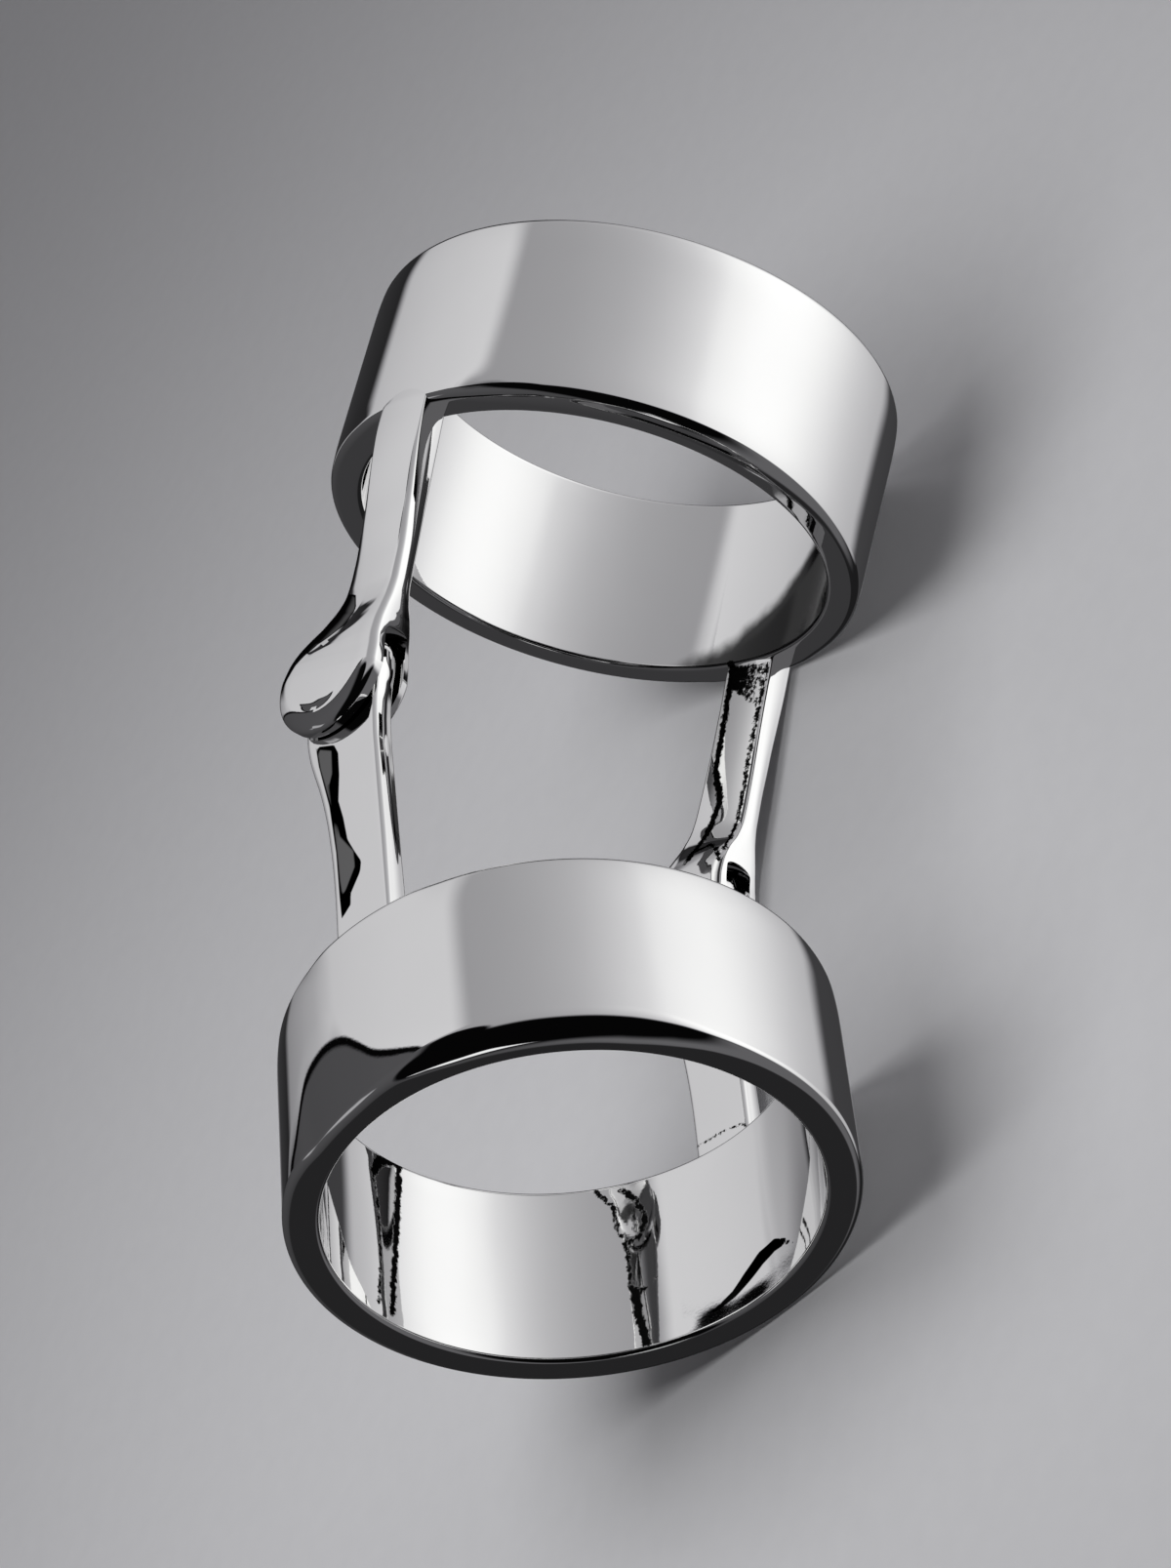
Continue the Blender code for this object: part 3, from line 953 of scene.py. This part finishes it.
def store(piece, name, values, where=True):
    """Keeps one distance for each vertex as an attribute, where the mark may be at all."""
    values = np.where(where, values, ABSENT).astype(np.float32)
    piece.data.attributes.new(name, "FLOAT", "POINT").data.foreach_set("value", values)
    print("%s: %d vertices inside %s" % (piece.name, int((values > 0.0).sum()), name))


def lower_marks(piece):
    """Fire stain on the left tongue, soot at the right root, and inside the band two painted
    reflections: ragged lines and a streak.
    """
    x, y, z = ring_frame(piece, bent=False).T
    turn, above, wall = on_inner_wall(x, y, z, LOWER_CENTRE, LOWER_WIDTH, LOWER_INNER_RADIUS)
    face = (x < TONGUE_OUTSIDE) & (z > TONGUE_FOOT)
    stain_and_painted_reflection = np.where(face, inside_of(y, z, FIRE_STAIN), ABSENT)
    # The streak inside the lower band is a painted reflection, stored with the stain.
    for row, following in zip(PAINTED_INSIDE_STREAK[:-1], PAINTED_INSIDE_STREAK[1:]):
        streak = tapered(turn, above, row, following)
        stain_and_painted_reflection = np.maximum(stain_and_painted_reflection, np.where(wall, streak, ABSENT))
    store(piece, "stain_and_painted_reflection", stain_and_painted_reflection)
    middles = [inside_of(y, z, corners) for corners in STAIN_MIDDLES]
    store(piece, "stain_and_painted_reflection_middle", np.maximum(np.maximum(*middles), ABSENT), face)
    root = (x > ROOT_INSIDE[0]) & (x < ROOT_INSIDE[1])
    soot_and_painted_reflection = np.where(root, near_line(y, z, ROOT_LINE, ROOT_HALF_WIDTH), ABSENT)
    # The ragged lines inside the lower band are painted reflections, stored with the soot.
    around = np.radians(turn) * LOWER_INNER_RADIUS
    for half_width, corners in PAINTED_INSIDE_LINES:
        route = [(math.radians(angle) * LOWER_INNER_RADIUS, height) for angle, height in corners]
        line = near_line(around, above, route, half_width)
        soot_and_painted_reflection = np.maximum(soot_and_painted_reflection, np.where(wall, line, ABSENT))
    store(piece, "soot_and_painted_reflection", soot_and_painted_reflection)
    store(piece, "painted_reflection_cloud", np.full(len(x), ABSENT))


def upper_marks(piece):
    """Soot inside the right arm, and painted reflections at the left waist and inside the band."""
    x, y, z = ring_frame(piece, bent=True).T
    soot_and_painted_reflection = np.minimum(inside_of(y, z, SOOT_PATCH), SPECKLE + SPECKLE_SLOPE * y)
    for half_width, corners in SOOT_LINES:
        soot_and_painted_reflection = np.maximum(soot_and_painted_reflection, near_line(y, z, corners, half_width))
    store(piece, "soot_and_painted_reflection", soot_and_painted_reflection, (x > ARM_INSIDE[0]) & (x < ARM_INSIDE[1]))
    # The dark behind the left fork's waist is a painted reflection, stored like a stain.
    stain_and_painted_reflection = np.where(x < WAIST_OUTSIDE, inside_of(y, z, PAINTED_WAIST_REFLECTION), ABSENT)
    store(piece, "stain_and_painted_reflection", stain_and_painted_reflection)
    store(piece, "stain_and_painted_reflection_middle", stain_and_painted_reflection - WAIST_EDGE)
    # The dark cloud inside the upper band is a painted reflection.
    angle, above, wall = on_inner_wall(x, y, z, UPPER_CENTRE, UPPER_WIDTH, UPPER_INNER_RADIUS)
    here = wall & (above > 0.0) & (angle > PAINTED_REFLECTION_CLOUD_HEIGHTS[0][0]) & (angle < PAINTED_REFLECTION_CLOUD_HEIGHTS[-1][0])
    store(piece, "painted_reflection_cloud", smooth_column(PAINTED_REFLECTION_CLOUD_HEIGHTS, angle, 1) - above, here)


# %% [markdown]
# ## Polished silver
#
# Silver is a metal, so its colour is the colour of its mirror: nearly white with the faintest
# warmth. Buffing leaves it almost perfectly smooth. Roughness drifts a little from place to
# place, where fingers and cloth have dulled it, and a very fine grain breaks up the sharpest
# reflections. Both patterns read Object coordinates, so they stay with the metal.

# %% Helpers for nodes
def add(tree, kind, **inputs):
    """A node of that kind with its named inputs set."""
    node = tree.nodes.new(kind)
    for key, value in inputs.items():
        node.inputs[key.replace("_", " ")].default_value = value
    return node


def feed(tree, value, socket):
    """Sets a socket to a number, or links another socket to it."""
    if isinstance(value, bpy.types.NodeSocket):
        tree.links.new(value, socket)
    else:
        socket.default_value = value


def calc(tree, operation, *values):
    """A Math node on numbers or sockets."""
    node = tree.nodes.new("ShaderNodeMath")
    node.operation = operation
    for value, socket in zip(values, node.inputs):
        feed(tree, value, socket)
    return node.outputs["Value"]


def dot(tree, place, vector):
    """The dot product of a direction and a fixed vector."""
    node = tree.nodes.new("ShaderNodeVectorMath")
    node.operation = "DOT_PRODUCT"
    node.inputs[1].default_value = vector
    tree.links.new(place, node.inputs[0])
    return node.outputs["Value"]


def soft_edge(tree, value, middle, half):
    """0 well below the middle, 1 well above it, and a smooth S in between."""
    node = add(tree, "ShaderNodeMapRange", From_Min=middle - half, From_Max=middle + half)
    node.interpolation_type = "SMOOTHSTEP"
    tree.links.new(value, node.inputs["Value"])
    return node.outputs["Result"]


def laid_over(tree, under, over, share):
    """The upper brightness where share is 1, and the lower one where it is 0."""
    rise = calc(tree, "MULTIPLY", calc(tree, "SUBTRACT", over, under), share)
    return calc(tree, "ADD", rise, under)


def mixed(tree, first, second, share):
    """The first colour where share is 0, and the second where it is 1."""
    node = tree.nodes.new("ShaderNodeMix")
    node.data_type = "RGBA"
    for key, value in (("A", first), ("B", second), ("Factor", share)):
        feed(tree, value, node.inputs[key])
    return node.outputs["Result"]


def noise(tree, **inputs):
    """Noise on Object coordinates, so that it stays with its piece."""
    place = tree.nodes.new("ShaderNodeTexCoord")
    node = add(tree, "ShaderNodeTexNoise", **inputs)
    tree.links.new(place.outputs["Object"], node.inputs["Vector"])
    return node.outputs["Fac"]


def stored(tree, name):
    """The distance to a mark, as a piece's vertices store it."""
    node = tree.nodes.new("ShaderNodeAttribute")
    node.attribute_name = name
    return node.outputs["Fac"]


def wandering(tree, name, reach, **pattern):
    """A stored distance that noise moves to and fro by up to half the reach, in millimetres."""
    shift = calc(tree, "MULTIPLY", calc(tree, "SUBTRACT", noise(tree, **pattern), 0.5), reach)
    return calc(tree, "ADD", stored(tree, name), shift)


# %% [markdown]
# ## What a mark does to silver
#
# Soot is a rough black crust with a ragged edge, so fine noise moves its distance to and fro,
# and the painted reflection lines inside the lower band look the same. A stain is a thin smooth
# layer: nearly black along its edge, dark grey in the middle, and as glossy as the silver round
# it, and so are the painted reflections at the waist and in the streak. The painted reflection
# inside the upper band is a dark cloud without an outline. It fades out over a millimetre, slow
# noise moves it to and fro, and it dulls the mirror a little.
#
# A metal's Base Color is its mirror as seen straight on, and Specular Tint tones the mirror at
# the edge of a curve. Darkening one alone leaves a bright or a black outline, so both follow the
# mark, and under the painted cloud the second one follows less.

# %% Soot, stain and painted reflections
RAGGED = {"Scale": 4600.0, "Detail": 6.0, "Roughness": 0.72}
RAGGED_REACH = 0.55
# Soot, and the ragged lines inside the lower band, which are painted reflections.
SOOT_AND_PAINTED_REFLECTION_EDGE = (0.02, 0.03)
SOOT_AND_PAINTED_REFLECTION_TONE = 0.012
SOOT_AND_PAINTED_REFLECTION_ROUGHNESS = 0.38
# Stains, and the dark at the waist and in the streak, which are painted reflections.
STAIN_AND_PAINTED_REFLECTION_EDGE = (0.03, 0.02)
STAIN_AND_PAINTED_REFLECTION_EDGE_TONE = 0.008
STAIN_AND_PAINTED_REFLECTION_MIDDLE_EDGE = (0.0, 0.05)
STAIN_AND_PAINTED_REFLECTION_TONE = 0.21
# The dark cloud inside the upper band, a painted reflection.
CLOUD = {"Scale": 900.0, "Detail": 3.0, "Roughness": 0.5}
CLOUD_REACH = 0.8
PAINTED_REFLECTION_CLOUD_EDGE = (0.30, 0.55)
PAINTED_REFLECTION_CLOUD_TONE = 0.075
PAINTED_REFLECTION_CLOUD_SHEEN = 0.5
PAINTED_REFLECTION_CLOUD_ROUGHNESS = 0.10
UNLIT = (0.0, 0.0, 0.0, 1.0)


def marked(tree, shader, colour, roughness):
    """Darkens the silver where the stored distances say so, for marks and painted reflections.
    Soot and painted lines lie over the painted cloud, which lies over stains and painted streaks.
    """
    soot_and_painted_reflection = soft_edge(tree, wandering(tree, "soot_and_painted_reflection", RAGGED_REACH, **RAGGED), *SOOT_AND_PAINTED_REFLECTION_EDGE)
    painted_reflection_cloud = soft_edge(tree, wandering(tree, "painted_reflection_cloud", CLOUD_REACH, **CLOUD), *PAINTED_REFLECTION_CLOUD_EDGE)
    middle = soft_edge(tree, stored(tree, "stain_and_painted_reflection_middle"), *STAIN_AND_PAINTED_REFLECTION_MIDDLE_EDGE)
    tone = calc(tree, "ADD", calc(tree, "MULTIPLY", middle, STAIN_AND_PAINTED_REFLECTION_TONE), STAIN_AND_PAINTED_REFLECTION_EDGE_TONE)
    share = laid_over(tree, 1.0, tone, soft_edge(tree, stored(tree, "stain_and_painted_reflection"), *STAIN_AND_PAINTED_REFLECTION_EDGE))
    sheen = laid_over(tree, share, PAINTED_REFLECTION_CLOUD_SHEEN, painted_reflection_cloud)
    sheen = laid_over(tree, sheen, 0.0, soot_and_painted_reflection)
    share = laid_over(tree, share, PAINTED_REFLECTION_CLOUD_TONE, painted_reflection_cloud)
    share = laid_over(tree, share, SOOT_AND_PAINTED_REFLECTION_TONE, soot_and_painted_reflection)
    rough = laid_over(tree, roughness, PAINTED_REFLECTION_CLOUD_ROUGHNESS, painted_reflection_cloud)
    rough = laid_over(tree, rough, SOOT_AND_PAINTED_REFLECTION_ROUGHNESS, soot_and_painted_reflection)
    tree.links.new(mixed(tree, UNLIT, colour, share), shader.inputs["Base Color"])
    tree.links.new(sheen, shader.inputs["Specular Tint"])
    tree.links.new(rough, shader.inputs["Roughness"])


print("soot %.3f, stain %.3f to %.3f, tarnish %.3f of the silver's brightness" % (
    SOOT_AND_PAINTED_REFLECTION_TONE, STAIN_AND_PAINTED_REFLECTION_EDGE_TONE, STAIN_AND_PAINTED_REFLECTION_EDGE_TONE + STAIN_AND_PAINTED_REFLECTION_TONE, PAINTED_REFLECTION_CLOUD_TONE,
))

# %% The silver materials
SMUDGE = {"Scale": 260.0, "Detail": 3.0, "Roughness": 0.55}
SMUDGE_FROM = 0.35
SMUDGE_TO = 0.75
SMUDGE_TONE = 0.96
GRAIN = {"Scale": 9000.0, "Detail": 2.0}
GRAIN_DEPTH = 0.00001


def polished_silver(name, colour, roughness_low, roughness_high, grain, marks):
    """Silver whose tone and roughness drift with one slow noise, over a very fine grain."""
    material = bpy.data.materials.new(name)
    material.use_nodes = True
    tree = material.node_tree
    shader = tree.nodes["Principled BSDF"]
    shader.inputs["Metallic"].default_value = 1.0
    smudge = noise(tree, **SMUDGE)
    dull = add(
        tree, "ShaderNodeMapRange", From_Min=SMUDGE_FROM, From_Max=SMUDGE_TO,
        To_Min=roughness_low, To_Max=roughness_high,
    )
    tree.links.new(smudge, dull.inputs["Value"])
    roughness = dull.outputs["Result"]
    dimmer = [SMUDGE_TONE * part for part in colour]
    tone = mixed(tree, (*colour, 1.0), (*dimmer, 1.0), smudge)
    if marks:
        marked(tree, shader, tone, roughness)
    else:
        tree.links.new(tone, shader.inputs["Base Color"])
        tree.links.new(roughness, shader.inputs["Roughness"])
    bump = add(tree, "ShaderNodeBump", Strength=grain, Distance=GRAIN_DEPTH)
    tree.links.new(noise(tree, **GRAIN), bump.inputs["Height"])
    tree.links.new(bump.outputs["Normal"], shader.inputs["Normal"])
    print("%s: %d nodes" % (name, len(tree.nodes)))
    return material


band_silver = polished_silver("polished_silver", (0.93, 0.93, 0.925), 0.012, 0.040, 0.02, True)
pin_silver = polished_silver("pin_silver", (0.82, 0.82, 0.81), 0.15, 0.28, 0.3, False)

# %% [markdown]
# ## Two pieces on two bodies
#
# On the real ring a band and its arms are one piece of metal. So each band is joined with its
# arms here, rides on its own body and stands for the solid of the same shape. The hinge pins
# are hidden in the ears. Their solids stay as they are and only take a finish.

# %% Pieces, bodies and finishes
lower_piece = one_piece("lower_band_and_tongues", [lower_ring] + tongues)
upper_piece = one_piece("upper_band_and_forks", [upper_ring] + forks)
for piece, body, node, mark in (
    (lower_piece, "lower", "lower_band", lower_marks),
    (upper_piece, "upper", "upper_band", upper_marks),
):
    mark(piece)
    piece.data.materials.clear()
    piece.data.materials.append(band_silver)
    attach(piece, body)
    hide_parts(node)

for node in ("right_hinge_pin", "left_hinge_pin"):
    pin = frame["nodes"][node]
    pin.data.materials.clear()
    pin.data.materials.append(pin_silver)

# %% [markdown]
# ## The table
#
# The ring lies on a plain pale surface with a faint fibre. In a polished wall a real tabletop
# would show as one more flat panel. Here the painted room below stands for it, so the floor
# takes light and shadow but is hidden from reflections, as a photographer hides it with a tent.

# %% A plain pale floor
FLOOR_REACH = 1.5
FLOOR_DIM = (0.74, 0.74, 0.76, 1.0)
FLOOR_PALE = (0.78, 0.78, 0.80, 1.0)
FLOOR_ROUGHNESS = 0.65
FIBRE = {"Scale": 900.0, "Detail": 4.0}


def plain_floor():
    """A square at height 0 that takes light and shadow, but no reflection shows it."""
    mesh = bpy.data.meshes.new("floor")
    r = FLOOR_REACH
    mesh.from_pydata([(-r, -r, 0), (r, -r, 0), (r, r, 0), (-r, r, 0)], [], [(0, 1, 2, 3)])
    floor = bpy.data.objects.new("floor", mesh)
    bpy.context.scene.collection.objects.link(floor)
    material = bpy.data.materials.new("pale_floor")
    material.use_nodes = True
    tree = material.node_tree
    shader = tree.nodes["Principled BSDF"]
    shader.inputs["Roughness"].default_value = FLOOR_ROUGHNESS
    tone = mixed(tree, FLOOR_DIM, FLOOR_PALE, noise(tree, **FIBRE))
    tree.links.new(tone, shader.inputs["Base Color"])
    mesh.materials.append(material)
    floor.visible_glossy = False
    return floor


floor = plain_floor()
print("floor: %.1f m across" % (2.0 * FLOOR_REACH))

# %% [markdown]
# ## Studio light
#
# A mirror shows the room, so a silver ring is lit by giving it a room worth showing. The room
# here is painted straight onto the world. One large round glow stands in front, low down, and
# fades smoothly. A softbox hangs behind to the right, with a strip beside it. The side where the
# camera stands stays black, and that draws the black line along each rim.
#
# The flat rims look past all this, away from the bands. A dim wall gives them their dark grey. It
# fills every direction beyond a cone round the lower band's axis, and a black gap parts it from
# the panels. Its foot is darker, a dark panel lies where the lower rim looks, and one small
# bright spot makes the glints on the rims' round corners.
#
# Lamps could do the same, but a world has no noise and no size limit, and each panel in it is
# only a few dot products: seen from the ring, a flat rectangle is where the direction's sideways
# and upward parts, divided by its forward part, stay within the half width and half height.

# %% Directions and edges in the room
UP = (0.0, 0.0, 1.0)
DOWN = (0.0, 0.0, -1.0)


def direction(azimuth, elevation):
    """A unit vector: azimuth turns from +X towards +Y, elevation rises from the table."""
    a, e = math.radians(azimuth), math.radians(elevation)
    return Vector((math.cos(a) * math.cos(e), math.sin(a) * math.cos(e), math.sin(e)))


def upright_edge(tree, place, azimuth, softness):
    """1 on the side that the azimuth points to, 0 on the other, softness in degrees."""
    return soft_edge(tree, dot(tree, place, direction(azimuth, 0.0)), 0.0, math.radians(softness))


RIGHT_AHEAD = direction(10.6, 3.2)
print("along the lower band's axis:", [round(part, 3) for part in RIGHT_AHEAD])

# %% Brightness and place of the glow, the panels and the wall
GLOW_AT = direction(-57.0, -19.0)
GLOW_FLOOR = 0.29
GLOW_RISE = 0.76
GLOW_WIDTH = math.radians(33.0)
GLOW_POWER = 3.0
GLOW_SIDES = [
    # azimuth of the inward normal of an upright edge, softness in degrees
    (-83.0, 5.0),
    (4.0, 5.0),
]
GLOW_TOP = 65.0
GLOW_TOP_SOFT = 0.012
TABLE_LIFT = 0.06
TABLE_EDGE = (-0.06, 0.07)
BLACK = 0.0016
PANELS_BEHIND = [
    # azimuth, elevation, half width, half height, softness, turn, brightness low, high
    (34.0, -26.0, 30.0, 42.0, 6.0, 0.0, 0.060, 0.016),
    (-142.0, -48.0, 50.0, 32.0, 10.0, 0.0, 0.12, 0.12),
    (118.0, 45.0, 12.0, 5.0, 3.0, 0.0, 0.36, 0.42),
    (177.0, -1.0, 5.0, 4.5, 1.5, 0.0, 0.95, 0.95),
    (146.0, -34.0, 14.0, 12.0, 6.0, 0.0, 0.018, 0.018),
]
PANELS_IN_FRONT = [
    # azimuth, elevation, half width, half height, softness, turn, brightness low, high
    (60.0, 14.0, 4.5, 17.0, 2.5, 0.0, 0.24, 0.46),
    (33.0, 39.0, 24.0, 22.0, 4.0, -10.0, 0.48, 0.67),
    (51.0, -29.0, 7.0, 7.0, 5.0, 0.0, 0.42, 0.42),
]
GREY_TINT = (1.0, 0.985, 1.045, 1.0)
WHITE = (1.0, 1.0, 1.0, 1.0)
WALL_FROM = 55.4
PANELS_TO = 54.0
WALL_GREY = 0.054
WALL_RISE = 0.0305
WALL_FOOT = 0.555
WALL_FOOT_SOFT = 0.035
FOOT_GREY = 0.012
WALL_SIDES = (78.0, 104.0)
WALL_SIDE_SOFT = 4.0
WALL_SOFT = 0.005
PANELS_SOFT = 0.004
PANELS_LEFT = -76.0
PANELS_LEFT_SOFT = 3.0
print("panels:", len(PANELS_BEHIND) + len(PANELS_IN_FRONT))

# %% The glow, the wall and the panels as nodes
def front_glow(tree, place):
    """Brightness floor + rise / (1 + (angle from the middle / width) ^ power), with sides."""
    angle = calc(tree, "ARCCOSINE", dot(tree, place, GLOW_AT))
    fall = calc(tree, "POWER", calc(tree, "DIVIDE", angle, GLOW_WIDTH), GLOW_POWER)
    level = calc(tree, "DIVIDE", GLOW_RISE, calc(tree, "ADD", fall, 1.0))
    level = calc(tree, "ADD", level, GLOW_FLOOR)
    below = soft_edge(tree, dot(tree, place, DOWN), *TABLE_EDGE)
    level = calc(tree, "ADD", level, calc(tree, "MULTIPLY", below, TABLE_LIFT))
    top = math.sin(math.radians(GLOW_TOP))
    share = calc(tree, "SUBTRACT", 1.0, soft_edge(tree, dot(tree, place, UP), top, GLOW_TOP_SOFT))
    for azimuth, softness in GLOW_SIDES:
        share = calc(tree, "MULTIPLY", share, upright_edge(tree, place, azimuth, softness))
    return level, share


def back_wall(tree, place):
    """The dim wall: all directions over an angle from the lower band's axis, between two sides."""
    limit = math.cos(math.radians(WALL_FROM))
    cone = soft_edge(tree, dot(tree, place, RIGHT_AHEAD), limit, WALL_SOFT)
    share = calc(tree, "SUBTRACT", 1.0, cone)
    for azimuth in WALL_SIDES:
        share = calc(tree, "MULTIPLY", share, upright_edge(tree, place, azimuth, WALL_SIDE_SOFT))
    level = calc(tree, "ADD", dot(tree, place, (0.0, 0.0, WALL_RISE)), WALL_GREY)
    below = soft_edge(tree, dot(tree, place, DOWN), WALL_FOOT, WALL_FOOT_SOFT)
    return laid_over(tree, level, FOOT_GREY, below), share


def panels_end(tree, place):
    """1 where the panels in front may show: near the lower band's axis, or to the left of it."""
    limit = math.cos(math.radians(PANELS_TO))
    near = soft_edge(tree, dot(tree, place, RIGHT_AHEAD), limit, PANELS_SOFT)
    left = upright_edge(tree, place, PANELS_LEFT, PANELS_LEFT_SOFT)
    return calc(tree, "MAXIMUM", near, left)


def light_panel(tree, place, row):
    """A flat rectangle as seen from the ring: its brightness and its soft-edged share."""
    azimuth, elevation, half_width, half_height, softness, turn, low, high = row
    forward = direction(azimuth, elevation)
    level = Vector((-math.sin(math.radians(azimuth)), math.cos(math.radians(azimuth)), 0.0))
    rise = forward.cross(level)
    a = math.radians(turn)
    side = level * math.cos(a) + rise * math.sin(a)
    up = rise * math.cos(a) - level * math.sin(a)
    depth = calc(tree, "MAXIMUM", dot(tree, place, forward), 0.001)
    x = calc(tree, "DIVIDE", dot(tree, place, side), depth)
    y = calc(tree, "DIVIDE", dot(tree, place, up), depth)
    share = 1.0
    for value, half in ((x, half_width), (y, half_height)):
        reach = math.tan(math.radians(half))
        blur = math.radians(softness) * (1.0 + reach * reach)
        outside = soft_edge(tree, calc(tree, "ABSOLUTE", value), reach, blur)
        share = calc(tree, "MULTIPLY", share, calc(tree, "SUBTRACT", 1.0, outside))
    reach = math.tan(math.radians(half_height))
    height = add(
        tree, "ShaderNodeMapRange", From_Min=-reach, From_Max=reach, To_Min=low, To_Max=high
    )
    tree.links.new(y, height.inputs["Value"])
    return height.outputs["Result"], share


def studio_world():
    """The room, laid from back to front: black, wall, panels behind, glow, panels in front."""
    world = bpy.data.worlds.new("studio")
    bpy.context.scene.world = world
    world.use_nodes = True
    tree = world.node_tree
    sky = tree.nodes["Background"]
    place = tree.nodes.new("ShaderNodeTexCoord").outputs["Generated"]
    room = laid_over(tree, BLACK, *back_wall(tree, place))
    for row in PANELS_BEHIND:
        room = laid_over(tree, room, *light_panel(tree, place, row))
    room = laid_over(tree, room, *front_glow(tree, place))
    end = panels_end(tree, place)
    for row in PANELS_IN_FRONT:
        level, share = light_panel(tree, place, row)
        room = laid_over(tree, room, level, calc(tree, "MULTIPLY", share, end))
    tree.links.new(mixed(tree, GREY_TINT, WHITE, room), sky.inputs["Color"])
    tree.links.new(room, sky.inputs["Strength"])
    print("studio world: %d nodes" % len(tree.nodes))
    return world


studio_world()

# %% The lamp over the table
LAMP_AT = Vector((-0.016, 0.004, 0.105))
LAMP_SIZE = 0.075
LAMP_POWER = 0.066


def table_lamp():
    """A small soft lamp overhead, for the shadow that the ring throws on the table."""
    data = bpy.data.lights.new("table_lamp", "AREA")
    data.size = LAMP_SIZE
    data.energy = LAMP_POWER
    lamp = bpy.data.objects.new("table_lamp", data)
    bpy.context.scene.collection.objects.link(lamp)
    lamp.location = LAMP_AT
    lamp.visible_glossy = False
    return lamp


lamp = table_lamp()
print("lamp: %.0f mm above the table" % (lamp.location.z / MM))

# %% [markdown]
# ## The camera
#
# The photograph looks up into both bands from below and from the ring's left. With the ring on
# its side that same view looks down on the table. The place, aim and roll were found by fitting
# both bands' outlines in the photograph.

# %% The camera, where the photograph was taken
CAMERA_AT = Vector((-94.768, -103.055, 86.899)) * MM
CAMERA_AIM = Vector((-5.879, -5.388, 15.135)) * MM
CAMERA_ROLL = 61.323
CAMERA_LENS = 93.75


def photo_camera():
    """A camera that looks from one point at another, then rolls about its line of sight."""
    data = bpy.data.cameras.new("photo_camera")
    data.lens = CAMERA_LENS
    data.clip_start = 0.01
    data.clip_end = 10.0
    camera = bpy.data.objects.new("photo_camera", data)
    bpy.context.scene.collection.objects.link(camera)
    camera.location = CAMERA_AT
    level = (CAMERA_AIM - CAMERA_AT).to_track_quat("-Z", "Y").to_matrix()
    roll = Matrix.Rotation(-math.radians(CAMERA_ROLL), 3, "Z")
    camera.rotation_euler = (level @ roll).to_euler()
    bpy.context.scene.camera = camera
    return camera


camera = photo_camera()
print("camera: %.0f mm from the ring" % ((CAMERA_AIM - CAMERA_AT).length / MM))
bpy.context.scene.view_settings.view_transform = "Standard"
